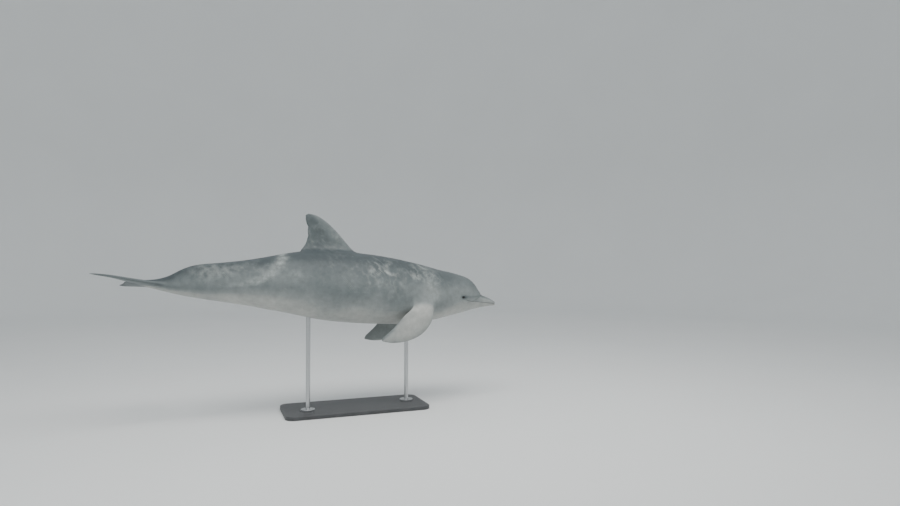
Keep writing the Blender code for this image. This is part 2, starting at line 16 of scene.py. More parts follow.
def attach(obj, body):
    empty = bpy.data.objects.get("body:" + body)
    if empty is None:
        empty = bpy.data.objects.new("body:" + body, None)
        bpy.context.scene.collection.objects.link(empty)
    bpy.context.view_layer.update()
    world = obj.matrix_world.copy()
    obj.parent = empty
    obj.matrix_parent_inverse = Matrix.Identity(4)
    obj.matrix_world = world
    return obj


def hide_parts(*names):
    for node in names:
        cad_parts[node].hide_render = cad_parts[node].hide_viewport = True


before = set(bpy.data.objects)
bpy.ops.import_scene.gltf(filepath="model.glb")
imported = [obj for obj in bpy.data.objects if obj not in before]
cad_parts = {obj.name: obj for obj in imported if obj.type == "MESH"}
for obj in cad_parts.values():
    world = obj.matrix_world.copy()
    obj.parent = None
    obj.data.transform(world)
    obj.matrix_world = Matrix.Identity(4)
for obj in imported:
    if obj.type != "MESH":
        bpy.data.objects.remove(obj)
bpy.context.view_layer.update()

# ---------------- dimensions of the animal
BODY_LENGTH = 2.45
MM = 0.001 / BODY_LENGTH    # a millimetre in body lengths
SPINE_STATIONS = (0.00, 0.25, 0.50, 0.75, 1.00)
SPINE_HEADING = (-4.5, 2.3, 7.6, -0.5, -9.0)
SPINE_PITCH = (-3.6, -6.3, -4.1, 0.1, -9.6)
SPINE_ROLL = (3.5, 3.5, 3.5, 4.8, 8.2)
ANCHOR_STATION = 0.44
ANCHOR = (-0.02, 0.0, 0.80)

# Station, back height, belly depth, half width (hundredths of the length), squareness of the section.
SQUARENESS_COLUMN = 4
PROFILE = (
    (0.000, 0.40, 0.60, 0.85, 2.2),
    (0.014, 0.90, 1.00, 1.20, 2.3),
    (0.030, 1.45, 1.40, 1.55, 2.3),
    (0.048, 1.60, 2.00, 2.00, 2.2),
    (0.057, 3.05, 2.30, 2.40, 2.1),
    (0.068, 4.70, 2.65, 3.05, 2.0),
    (0.082, 5.95, 3.10, 3.75, 2.0),
    (0.100, 6.75, 3.70, 4.45, 2.0),
    (0.140, 7.40, 5.00, 5.60, 2.0),
    (0.200, 8.25, 6.80, 6.95, 2.1),
    (0.300, 9.50, 8.60, 8.20, 2.1),
    (0.400, 10.10, 9.10, 8.50, 2.1),
    (0.500, 10.00, 8.80, 8.10, 2.1),
    (0.600, 9.20, 7.20, 6.90, 2.0),
    (0.700, 7.05, 5.20, 5.15, 1.9),
    (0.780, 6.10, 3.70, 3.65, 1.8),
    (0.840, 5.75, 2.75, 2.60, 1.8),
    (0.876, 4.45, 2.20, 2.05, 1.8),
    (0.903, 2.40, 1.70, 1.65, 1.9),
    (0.926, 1.40, 1.25, 1.45, 2.0),
    (0.955, 0.85, 0.85, 1.25, 2.0),
    (1.000, 0.26, 0.26, 0.90, 2.0),
)

# The beak points a little below the line of the body.
BEAK_DROOP = 0.0060
BEAK_ROOT_STATION = 0.075

# Cage: stations of the rings and angles of half a ring, from the back down to the belly.
HEAD_RINGS = (0.000, 0.010, 0.028, 0.045, 0.056, 0.068, 0.084, 0.104, 0.128, 0.156, 0.186)
FLIPPER_RINGS = (0.212, 0.236, 0.260, 0.284)
CHEST_RINGS = (0.322, 0.378)
DORSAL_RINGS = (0.434, 0.471, 0.509, 0.547, 0.583)
LOIN_RINGS = (0.622, 0.682, 0.745, 0.805, 0.850, 0.884)
FLUKE_RINGS = (0.906, 0.933, 0.961, 0.990)
HALF_ANGLES = (90.0, 70.0, 46.0, 22.0, 0.0, -22.0, -45.0, -68.0, -90.0)
FIN_LAYERS = ("dorsal", "flipper", "fluke", "span", "chord")
SMOOTHING_LEVELS = 3

# The flank rows sink by this many degrees round the station where the flippers grow.
FLIPPER_DROOP = 9.0
FLIPPER_DROOP_STATION = 0.246
FLIPPER_DROOP_SPREAD = 0.07

# Section of a fin: fullness, taper to the rear and rear edge of its half thickness, and the first and
# last point on its side as shares of the half turn from the front edge to the rear edge.
FOIL_FULLNESS = 2.6
FOIL_TAPER = 0.85
FOIL_EDGE = 0.16
FIRST_SHARE = 0.14
LAST_SHARE = 0.90

# Dorsal fin: front station and height above the back, rear station and height, half thickness.
DORSAL_FIN = (
    (0.4400, 0.0040, 0.5900, 0.0040, 0.0165),
    (0.4570, 0.0190, 0.5755, 0.0170, 0.0105),
    (0.4785, 0.0420, 0.5700, 0.0400, 0.0082),
    (0.5040, 0.0665, 0.5710, 0.0640, 0.0060),
    (0.5270, 0.0850, 0.5765, 0.0830, 0.0042),
    (0.5455, 0.0960, 0.5785, 0.0960, 0.0028),
    (0.5610, 0.1015, 0.5750, 0.1030, 0.0016),
)

# Flipper: front edge station and height, rear edge station and height, distance from the midline,
# half thickness, and lean of the thickness from upright (0) to sideways (90).
FLIPPER = (
    (0.2235, -0.0400, 0.2880, -0.0440, 0.0835, 0.0135, 38.0),
    (0.2215, -0.0700, 0.3120, -0.0610, 0.0848, 0.0098, 76.0),
    (0.2440, -0.1060, 0.3270, -0.0825, 0.0815, 0.0074, 90.0),
    (0.2760, -0.1270, 0.3395, -0.1000, 0.0785, 0.0058, 92.0),
    (0.3220, -0.1395, 0.3570, -0.1165, 0.0750, 0.0040, 94.0),
    (0.3650, -0.1385, 0.3750, -0.1330, 0.0710, 0.0018, 96.0),
)

# Flukes: distance from the midline, height, front and rear station, half thickness.
FLUKE = (
    (0.020, 0.0000, 0.9140, 1.0050, 0.0068),
    (0.043, -0.0005, 0.9350, 1.0165, 0.0052),
    (0.074, -0.0010, 0.9680, 1.0250, 0.0040),
    (0.104, -0.0025, 1.0060, 1.0360, 0.0027),
    (0.125, -0.0060, 1.0400, 1.0510, 0.0014),
)

# Mouth, eye, blowhole and ear, as station and height; lengths ending in _MM are millimetres.
MOUTH_LINE = ((-0.020, -0.0075), (0.000, -0.0072), (0.030, -0.0064), (0.060, -0.0056),
              (0.084, -0.0060), (0.099, -0.0054), (0.109, -0.0034))
MOUTH_CORNER = MOUTH_LINE[-1][0]
CREASE_LINE = ((-0.007, 0.088), (0.000, 0.074), (0.007, 0.0605), (0.0155, 0.0495))
EYE_STATION = 0.120
EYE_ANGLE = 3.0
EYE_RADIUS = 0.017
EYE_PROTRUSION = 0.0035
EYE_STATION_STEP = 0.004    # half the steps over which the skin's slope at the eye is measured
EYE_ANGLE_STEP = 0.05       # in radians
EYE_SURFACE_MM = (EYE_RADIUS - EYE_PROTRUSION) * 1000.0
EYE_SLIT_MM = 12.0
EYE_OPENING_MM = 6.4
LID_MM = 1.7
EYE_REGION_MM = 45.0        # how far round the eye its lids shape the skin, and how deep
EYE_REGION_DEPTH_MM = 25.0
BLOWHOLE_STATION = 0.136
BLOWHOLE_RADIUS_MM = 17.0
SLIT_END_DEGREES = (68.0, 84.0)    # where the blowhole's slit fades out, from the rear round to the front
TOP_OF_HEAD = 0.03          # the blowhole lies above this height
SIDE_OF_HEAD = 0.03         # the ears lie farther than this from the midline
EAR = (0.146, 0.0005)
NAVEL_STATION = 0.470
VENT_SLIT = (0.655, 0.694)
TEAT_SLITS = (0.672, 0.682)
ANUS_STATION = 0.706

# The body takes the flukes' tone from this station on.  Fins are drawn in from this share of their span
# on, and their ends to the square root of 1 - TIP_ROUNDING of their breadth.
TAIL_END = 0.945
TIP_START = 0.90
TIP_ROUNDING = 0.80

# Stand.
BASE_LENGTH = 0.95
BASE_WIDTH = 0.42
BASE_THICKNESS = 0.024
BASE_CORNER = 0.060
BASE_EDGE = 0.004
ROD_RADIUS = 0.014
ROD_FLANGE_RADIUS = 0.045
ROD_FLANGE_HEIGHT = 0.010
ROD_STATIONS = (0.272, 0.560)
SURFACE_GAP = 0.0003

# Camera: its offset from the anchor, heading and tilt in degrees, and lens in millimetres.
CAMERA_OFFSET = (-0.898, -4.179, 0.166)
CAMERA_HEADING = 21.0
CAMERA_TILT = 1.1
CAMERA_LENS = 25.0


# ---------------- curves and shares
def smooth_curve(stations, values):
    """A curve through a few stations that does not overshoot them; works on arrays."""
    xs = np.asarray(stations, float)
    ys = np.asarray(values, float)
    steps = np.diff(xs)
    slopes = np.diff(ys) / steps
    tangents = np.zeros_like(ys)
    tangents[0] = slopes[0]
    tangents[-1] = slopes[-1]
    for i in range(1, len(xs) - 1):
        if slopes[i - 1] * slopes[i] > 0.0:
            before = 2.0 * steps[i] + steps[i - 1]
            after = steps[i] + 2.0 * steps[i - 1]
            tangents[i] = (before + after) / (before / slopes[i - 1] + after / slopes[i])

    def value(x):
        i = np.clip(np.searchsorted(xs, x, side="right") - 1, 0, len(xs) - 2)
        t = np.clip((x - xs[i]) / steps[i], 0.0, 1.0)
        low = (1.0 + 2.0 * t) * (1.0 - t) ** 2 * ys[i] + t * (1.0 - t) ** 2 * steps[i] * tangents[i]
        high = t * t * (3.0 - 2.0 * t) * ys[i + 1] - t * t * (1.0 - t) * steps[i] * tangents[i + 1]
        return low + high

    return value


def profile_curve(column):
    scale = 1.0 if column == SQUARENESS_COLUMN else 0.01
    return smooth_curve([row[0] for row in PROFILE], [row[column] * scale for row in PROFILE])


back_height = profile_curve(1)
belly_depth = profile_curve(2)
half_width = profile_curve(3)
squareness = profile_curve(SQUARENESS_COLUMN)
mouth_height = smooth_curve(*zip(*MOUTH_LINE))
crease_station = smooth_curve(*zip(*CREASE_LINE))


def rise(low, high, x):
    """0 below low, 1 above high, smooth between."""
    t = np.clip((x - low) / (high - low), 0.0, 1.0)
    return t * t * (3.0 - 2.0 * t)


def fall(low, high, x):
    """1 below low, 0 above high, smooth between."""
    return 1.0 - rise(low, high, x)


def hump(distance, width):
    """1 at no distance, falling off smoothly over a width."""
    return np.exp(-(distance / width) ** 2)


def between(low, high, soft, x):
    """1 inside a range, falling to 0 over a soft margin outside it."""
    return rise(low - soft, low, x) * fall(high, high + soft, x)


def beak_droop(station):
    """How far the beak hangs below the line of the body."""
    return BEAK_DROOP * np.clip(1.0 - station / BEAK_ROOT_STATION, 0.0, None) ** 2


def section_point(station, angle):
    """A point of the smooth body in the straight animal: station, left offset, height."""
    power = 2.0 / float(squareness(station))
    across = math.copysign(abs(math.cos(angle)) ** power, math.cos(angle))
    upward = abs(math.sin(angle)) ** power
    height = upward * back_height(station) if math.sin(angle) > 0.0 else -upward * belly_depth(station)
    return station, float(across * half_width(station)), float(height - beak_droop(station))


# ---------------- spine
class Spine:
    """Carries points of the straight animal to the posed one."""

    SAMPLES = 201

    def __init__(self):
        self.stations = np.linspace(0.0, 1.0, self.SAMPLES)
        yaw = np.radians(smooth_curve(SPINE_STATIONS, SPINE_HEADING)(self.stations))
        dive = np.radians(smooth_curve(SPINE_STATIONS, SPINE_PITCH)(self.stations))
        level = np.cos(dive)
        self.forward = np.stack([level * np.cos(yaw), level * np.sin(yaw), np.sin(dive)], axis=1)
        steps = (self.forward[1:] + self.forward[:-1]) / 2.0 * BODY_LENGTH / (self.SAMPLES - 1)
        self.centre = np.vstack([np.zeros(3), -np.cumsum(steps, axis=0)])
        self.centre += np.array(ANCHOR) - self.sample(self.centre, np.array([ANCHOR_STATION]))[0]
        level_left = np.cross((0.0, 0.0, 1.0), self.forward)
        level_left /= np.linalg.norm(level_left, axis=1)[:, None]
        level_up = np.cross(self.forward, level_left)
        roll = np.radians(smooth_curve(SPINE_STATIONS, SPINE_ROLL)(self.stations))[:, None]
        self.left = level_left * np.cos(roll) - level_up * np.sin(roll)
        self.up = level_up * np.cos(roll) + level_left * np.sin(roll)

    def sample(self, rows, stations):
        return np.stack([np.interp(stations, self.stations, rows[:, axis]) for axis in range(3)], axis=1)

    def place(self, points):
        """World positions of points given as station, left offset and height."""
        points = np.asarray(points, float).reshape(-1, 3)
        inside = np.clip(points[:, 0], 0.0, 1.0)
        beyond = (points[:, 0] - inside)[:, None] * BODY_LENGTH
        centre = self.sample(self.centre, inside) - self.sample(self.forward, inside) * beyond
        sideways = self.sample(self.left, inside) * points[:, 1:2]
        upward = self.sample(self.up, inside) * points[:, 2:3]
        return centre + (sideways + upward) * BODY_LENGTH

    def place_one(self, point):
        return Vector(self.place(point)[0])


SPINE = Spine()


# ---------------- cage of the straight animal
def ring_angles(station):
    """Angles of half a ring; the flank rows sink a little where the flippers grow."""
    sink = FLIPPER_DROOP * math.exp(-((station - FLIPPER_DROOP_STATION) / FLIPPER_DROOP_SPREAD) ** 2)
    return [math.radians(angle - sink * math.cos(math.radians(angle))) for angle in HALF_ANGLES]


def ring_points(station):
    """One closed ring: back, left flank, belly, right flank."""
    columns = 2 * (len(HALF_ANGLES) - 1)
    fullness = 1.0 / (2.0 / 3.0 + math.cos(2.0 * math.pi / columns) / 3.0)
    left = [section_point(station, angle) for angle in ring_angles(station)]
    right = [(point[0], -point[1], point[2]) for point in reversed(left[1:-1])]
    return [(point[0], point[1] * fullness, point[2] * fullness) for point in left + right]


def foil(share):
    """Half thickness of a fin across its chord, 1 at the thickest."""
    return FOIL_FULLNESS * math.sqrt(share) * (1.0 - share) ** FOIL_TAPER + FOIL_EDGE * share


def section_loop(front, rear, thickness, count):
    """Loop round a fin section, each point with its share of the chord from front to rear."""
    front = Vector(front)
    rear = Vector(rear)
    thickness = Vector(thickness)
    shares = [FIRST_SHARE + (LAST_SHARE - FIRST_SHARE) * i / (count - 1) for i in range(count)]
    shares = [0.5 - 0.5 * math.cos(math.pi * share) for share in shares]
    side = [(front.lerp(rear, share) + thickness * foil(share), share) for share in shares]
    other = [(front.lerp(rear, share) - thickness * foil(share), share) for share in reversed(shares)]
    return [(front, 0.0)] + side + [(rear, 1.0)] + other


def grow_fin(shape, root, sections, name):
    """Grows a fin from its loop on the body, and marks its points with 1 for the fin, and span and chord."""
    layers = shape.verts.layers.float
    fin, span, chord = layers[name], layers["span"], layers["chord"]
    loop = root
    size = len(root)
    for level, points in enumerate(sections):
        ring = []
        for point, share in points:
            vertex = shape.verts.new(point)
            vertex[fin] = 1.0
            vertex[span] = (level + 1) / len(sections)
            vertex[chord] = share
            ring.append(vertex)
        for i in range(size):
            j = (i + 1) % size
            shape.faces.new((loop[i], loop[j], ring[j], ring[i]))
        loop = ring
    count = size // 2 - 1
    side = loop[1:count + 1]
    other = list(reversed(loop[count + 2:]))
    shape.faces.new((loop[0], side[0], other[0]))
    for i in range(count - 1):
        shape.faces.new((side[i], side[i + 1], other[i + 1], other[i]))
    shape.faces.new((side[-1], loop[count + 1], other[-1]))


def patch_loop(rings, side, middle, other):
    """Border of a two-column patch of the body, in the order of section_loop."""
    return ([rings[0][middle]] + [ring[side] for ring in rings] + [rings[-1][middle]]
            + [ring[other] for ring in reversed(rings)])


def dorsal_sections(count):
    return [section_loop((front, 0.0, back_height(front) + front_height),
                         (rear, 0.0, back_height(rear) + rear_height), (0.0, thickness, 0.0), count)
            for front, front_height, rear, rear_height, thickness in DORSAL_FIN]


def flipper_sections(count, side):
    return [section_loop((front, side * offset, front_height), (rear, side * offset, rear_height),
                         (0.0, side * thickness * math.sin(math.radians(lean)),
                          thickness * math.cos(math.radians(lean))), count)
            for front, front_height, rear, rear_height, offset, thickness, lean in FLIPPER]


def fluke_sections(count, side):
    return [section_loop((front, side * offset, height), (rear, side * offset, height),
                         (0.0, 0.0, thickness), count)
            for offset, height, front, rear, thickness in FLUKE]


def close_end(shape, ring):
    """Closes the end of the body with faces between its left and right halves."""
    half = len(ring) // 2
    left = ring[:half + 1]
    right = [ring[0]] + list(reversed(ring[half:]))
    shape.faces.new((left[0], left[1], right[1]))
    for i in range(1, half - 1):
        shape.faces.new((left[i], left[i + 1], right[i + 1], right[i]))
    shape.faces.new((left[half - 1], left[half], right[half - 1]))


def straight_cage():
    """Closed cage of the straight animal: body rings and five fins."""
    stations = HEAD_RINGS + FLIPPER_RINGS + CHEST_RINGS + DORSAL_RINGS + LOIN_RINGS + FLUKE_RINGS
    shape = bmesh.new()
    for name in FIN_LAYERS:
        shape.verts.layers.float.new(name)
    rings = [[shape.verts.new(point) for point in ring_points(station)] for station in stations]
    columns = len(rings[0])

    def rings_at(fin_stations):
        first = stations.index(fin_stations[0])
        return rings[first:first + len(fin_stations)]

    # Each fin grows from a patch two columns wide: its rings, side, middle and other column, and sections.
    patches = [("dorsal", rings_at(DORSAL_RINGS), (1, 0, columns - 1), dorsal_sections(len(DORSAL_RINGS)))]
    for side in (1, -1):
        above, level, below, lowest = [side * (columns // 4 + step) % columns for step in (-1, 0, 1, 2)]
        patches.append(("flipper", rings_at(FLIPPER_RINGS), (level, below, lowest),
                        flipper_sections(len(FLIPPER_RINGS), side)))
        patches.append(("fluke", rings_at(FLUKE_RINGS), (above, level, below),
                        fluke_sections(len(FLUKE_RINGS), side)))
    covered = {ring[middle] for _, here, (_, middle, _), _ in patches for ring in here[1:-1]}
    for ring, following in zip(rings, rings[1:]):
        for j in range(columns):
            k = (j + 1) % columns
            corners = (ring[j], ring[k], following[k], following[j])
            if covered.isdisjoint(corners):
                shape.faces.new(corners)
    for fin, here, fin_columns, sections in patches:
        grow_fin(shape, patch_loop(here, *fin_columns), sections, fin)
    close_end(shape, rings[0])
    close_end(shape, rings[-1])
    bmesh.ops.delete(shape, geom=list(covered), context="VERTS")
    bmesh.ops.recalc_face_normals(shape, faces=shape.faces)
    return shape


# ---------------- eye position
def eye_frame(skin_point, side, unit):
    """Centre of an eye and its directions outward, forward and up; unit is the skin's unit in metres."""
    angle = math.radians(EYE_ANGLE)

    def slope(station_step, angle_step):
        return (skin_point(EYE_STATION + station_step, angle + angle_step)
                - skin_point(EYE_STATION - station_step, angle - angle_step))

    backward = slope(EYE_STATION_STEP, 0.0)
    outward = backward.cross(slope(0.0, EYE_ANGLE_STEP)).normalized()
    if outward.y * side < 0.0:
        outward.negate()
    centre = skin_point(EYE_STATION, angle) - outward * (EYE_RADIUS - EYE_PROTRUSION) / unit
    forward = (outward * outward.dot(backward) - backward).normalized()
    return centre, outward, forward, outward.cross(forward)


def straight_skin(station, angle):
    return Vector(section_point(station, angle))


EYE_CENTRE, EYE_OUT, EYE_FORWARD, EYE_UP = map(np.array, eye_frame(straight_skin, 1.0, BODY_LENGTH))


def eye_distances(points):
    """Forward, upward and outward distances from the nearer eye's centre, in millimetres."""
    mirrored = np.column_stack([points[:, 0], np.abs(points[:, 1]), points[:, 2]]) - EYE_CENTRE
    return [mirrored @ axis / MM for axis in (EYE_FORWARD, EYE_UP, EYE_OUT)]


# ---------------- skin mesh
# A face is divided once more for each of these distances, in millimetres, that its centre is within.
DETAIL_REACHES = {"eye": (38.0, 28.0, 17.0), "mouth": (12.0, 5.5), "crease": (11.0,), "ear": (16.0, 10.0),
                  "blowhole": (36.0, 26.0), "vent": (34.0, 24.0, 18.0), "navel": (30.0, 22.0)}
FAR = 1000.0                # millimetres added where a detail cannot lie


def side_distance(station, height, spot):
    """Millimetres to a spot, given as station and height, as the straight animal is seen from the side."""
    return np.hypot(station - spot[0], height - spot[1]) / MM


def ear_distance(station, left, height):
    return side_distance(station, height, EAR) + FAR * (np.abs(left) < SIDE_OF_HEAD)


def detail_wanted(points):
    """How many times the faces at these centres are divided again."""
    station, left, height = points.T
    forward, upward, outward = eye_distances(points)
    under = np.abs(left) / MM + FAR * (height > -0.5 * belly_depth(np.clip(station, 0.0, 1.0)))
    vent_part = between(VENT_SLIT[0] - 0.008, ANUS_STATION + 0.008, 0.001, station)
    off_crease = (height < -0.006) | (station > 0.10)
    distances = {
        "eye": np.sqrt(forward ** 2 + upward ** 2 + (outward - EYE_SURFACE_MM) ** 2),
        "mouth": np.abs(height - mouth_height(station)) / MM + FAR * (station > MOUTH_CORNER + 0.010),
        "crease": np.abs(station - crease_station(height)) / MM + FAR * off_crease,
        "blowhole": np.hypot(station - BLOWHOLE_STATION, left) / MM + FAR * (height < TOP_OF_HEAD),
        "vent": under + FAR * (1.0 - vent_part),
        "navel": np.hypot((station - NAVEL_STATION) / MM, under),
        "ear": ear_distance(station, left, height),
    }
    counts = [sum((distances[place] < reach).astype(int) for reach in reaches)
              for place, reaches in DETAIL_REACHES.items()]
    return np.max(counts, axis=0)


def refine(mesh):
    """Divides the faces again where the skin has fine folds."""
    shape = bmesh.new()
    shape.from_mesh(mesh)
    for level in (1, 2, 3):
        centres = np.array([face.calc_center_median() for face in shape.faces])
        wanted = detail_wanted(centres) >= level
        edges = {edge for face, yes in zip(shape.faces, wanted) if yes for edge in face.edges}
        bmesh.ops.subdivide_edges(shape, edges=sorted(edges, key=lambda edge: edge.index), cuts=1,
                                  use_grid_fill=True)
        shape.edges.index_update()
    bmesh.ops.recalc_face_normals(shape, faces=shape.faces)
    shape.to_mesh(mesh)
    shape.free()


def read(mesh, name):
    """A per-point number of a mesh as an array."""
    values = np.zeros(len(mesh.vertices), np.float32)
    mesh.attributes[name].data.foreach_get("value", values)
    return values.astype(float)


def write(mesh, name, values):
    """Stores a per-point number or vector that the materials read."""
    kind, key = ("FLOAT_VECTOR", "vector") if values.ndim == 2 else ("FLOAT", "value")
    mesh.attributes.new(name, kind, "POINT").data.foreach_set(key, values.astype(np.float32).ravel())


class SkinPoints:
    """Arrays that describe each point of the straight skin."""

    def __init__(self, mesh):
        self.at = np.array([vertex.co for vertex in mesh.vertices])
        self.normal = np.array([vertex.normal for vertex in mesh.vertices])
        self.station, self.left, self.height = self.at.T
        layers = (read(mesh, name) for name in FIN_LAYERS)
        self.dorsal, self.flipper, self.fluke, self.span, self.chord = layers
        self.body = 1.0 - np.clip(self.dorsal + self.flipper + self.fluke, 0.0, 1.0)
        inside = np.clip(self.station, 0.0, 1.0)
        raised = self.height + beak_droop(inside)
        self.level = np.where(raised > 0.0, raised / back_height(inside), raised / belly_depth(inside))


# Relief is in millimetres, and each function of a fold gives its relief and the painted shade laid in its
# groove.
def mouth_relief(p):
    """Groove of the closed mouth between two soft lips, with painted shade along it."""
    distance = (p.height - mouth_height(p.station)) / MM
    open_part = fall(MOUTH_CORNER - 0.004, MOUTH_CORNER + 0.004, p.station) * p.body
    groove = -2.6 * hump(distance, 1.2)
    lips = 0.9 * hump(distance - 4.5, 3.0) + 1.5 * hump(distance + 4.5, 3.5)
    corner = hump(side_distance(p.station - 0.003, p.height, MOUTH_LINE[-1]), 6.0) * p.body
    return (groove + lips) * open_part + corner, 0.85 * hump(distance, 1.4) * open_part


def crease_relief(p):
    """Groove between the beak and the melon, running back from the top towards the mouth corner, with painted
    shade in it.
    """
    distance = (p.station - crease_station(p.height)) / MM
    shown = between(-0.002, 0.025, 0.005, p.height) * (p.station < 0.10) * p.body
    relief = -3.0 * hump(distance, 4.6) + 1.6 * hump(distance - 13.0, 8.0)
    return relief * shown, hump(distance, 3.0) * shown


def blowhole_relief(p):
    """Crescent slit whose ends point forward, round a low plug; the slit holds painted shade."""
    forward = (BLOWHOLE_STATION - p.station) / MM
    across = p.left / MM
    radius = np.hypot(forward, across)
    turn = np.degrees(np.abs(np.arctan2(across, -forward)))
    shown = (p.height > TOP_OF_HEAD) * p.body
    slit = hump(radius - BLOWHOLE_RADIUS_MM, 1.5) * fall(*SLIT_END_DEGREES, turn) * shown
    plug = hump(radius, 14.0) * shown
    rim = hump(radius - 23.0, 6.0) * shown
    return -3.6 * slit + 1.0 * plug + 0.9 * rim, slit


def under_relief(p):
    """Navel, vent slit with its two teat slits, and anus, on the midline of the belly, with painted shade in
    each.
    """
    shown = (p.level < -0.5) * p.body
    across = p.left / MM
    slit = hump(across, 1.6) * between(*VENT_SLIT, 0.003, p.station)
    lips = hump(np.abs(across) - 6.0, 4.0) * between(*VENT_SLIT, 0.006, p.station)
    teats = hump(np.abs(across) - 17.0, 1.4) * between(*TEAT_SLITS, 0.002, p.station)
    anus = hump(np.hypot((p.station - ANUS_STATION) / MM, across), 2.6)
    navel = hump(np.hypot((p.station - NAVEL_STATION) / MM / 1.8, across), 3.2)
    relief = -3.2 * slit - 1.6 * teats - 2.0 * anus - 1.8 * navel + 1.4 * lips
    return relief * shown, (slit + teats + anus + 0.6 * navel) * shown


def unevenness(points, fineness, shift=(0.0, 0.0, 0.0)):
    """Smooth noise from -1 to 1 at points of the straight animal."""
    return np.array([noise.noise(Vector(point) * fineness + Vector(shift)) for point in points])


def body_relief(p):
    """Broad muscle forms and the uneven surface of a living body."""
    stock = between(0.63, 0.84, 0.08, p.station) * hump(p.level - 0.05, 0.42)
    nape = between(0.178, 0.192, 0.03, p.station) * rise(0.2, 0.8, p.level)
    cheek = hump(p.station - 0.108, 0.018) * hump(p.height + 0.017, 0.010)
    wave = unevenness(p.at, 22.0)
    ripple = unevenness(p.at, 70.0, (7.0, 3.0, 1.0))
    return (-3.0 * stock - 2.2 * nape + 1.5 * cheek + 1.1 * wave) * p.body + 0.22 * ripple


# Nicks of the fins' rear edges: share of the span, depth in millimetres, half width in spans.
DORSAL_NICKS = ((0.60, 5.0, 0.035), (0.44, 3.0, 0.022), (0.83, 2.0, 0.030))
LEFT_FLUKE_NICKS = ((0.55, 2.5, 0.030),)
RIGHT_FLUKE_NICKS = ((0.72, 3.0, 0.030),)


def nick_depth(p, nicks):
    return sum(depth * hump(p.span - place, width) for place, depth, width in nicks)


def trailing_edge_shift(p):
    """How far nicks and wear move the fins' rear edges forward, in body lengths."""
    left_fluke = nick_depth(p, LEFT_FLUKE_NICKS) * (p.left > 0.0)
    right_fluke = nick_depth(p, RIGHT_FLUKE_NICKS) * (p.left < 0.0)
    depth = nick_depth(p, DORSAL_NICKS) * p.dorsal + (left_fluke + right_fluke) * p.fluke
    return depth * np.clip(p.chord, 0.0, 1.0) ** 6 * MM


def round_tips(p, moved):
    """Draws the moved ends of the fins in, so that each ends in a rounded tip."""
    beyond = np.clip((p.span - TIP_START) / (1.0 - TIP_START), 0.0, 1.0)
    slimmer = np.sqrt(1.0 - TIP_ROUNDING * beyond ** 2)
    whole = (np.full(len(p.left), True),)
    halves = (p.left > 0.0, p.left <= 0.0)
    for fin, sides in ((p.dorsal, whole), (p.flipper, halves), (p.fluke, halves)):
        for side in sides:
            here = (fin > 0.5) & side
            first = moved[here & (np.abs(p.span - TIP_START) < 0.02)].mean(axis=0)
            last = moved[here & (p.span > 0.99)].mean(axis=0)
            tip = here & (p.span > TIP_START)
            centre = first + (last - first) * beyond[tip, None]
            moved[tip] = centre + (moved[tip] - centre) * slimmer[tip, None]


def lid_height(forward, upward, outward):
    """Skin round the eye: how far out it lies, in millimetres from the eyeball's centre, and the painted
    shade at the lids' edge and fold.
    """
    ball = EYE_RADIUS * 1000.0
    radius = np.hypot(forward, upward)
    ahead = np.abs(forward)
    slit = np.clip(1.0 - (forward / EYE_SLIT_MM) ** 2, 0.0, 1.0) ** 0.7
    opening = np.where(upward > 0.0, EYE_OPENING_MM, EYE_OPENING_MM * 0.82) * slit
    inside = opening - np.abs(upward) - 3.0 * np.clip(ahead - EYE_SLIT_MM, 0.0, None)
    lid = np.sqrt(np.clip((ball + LID_MM) ** 2 - radius ** 2, 0.0, None))
    cover = 0.5 * (outward + lid + np.sqrt((outward - lid) ** 2 + 5.0))
    cover += 1.6 * hump(radius, 25.0) + 0.9 * hump(np.hypot(forward, upward - 11.0), 8.0)
    fold = np.where(upward > 0.0, 1.0, 0.7) * hump(inside + 4.6, 1.1) * (ahead < 15.0)
    corner = hump(upward + 0.02 * forward ** 2 / 3.0, 1.1)
    cover -= 0.9 * fold + corner * between(EYE_SLIT_MM, EYE_SLIT_MM + 6.0, 3.0, ahead)
    under = np.sqrt(np.clip((ball - 2.0) ** 2 - radius ** 2, 0.0, None))
    share = rise(-0.2, 0.8, inside)
    return cover * (1.0 - share) + np.minimum(under, cover) * share, hump(inside + 0.6, 1.6) + 0.35 * fold


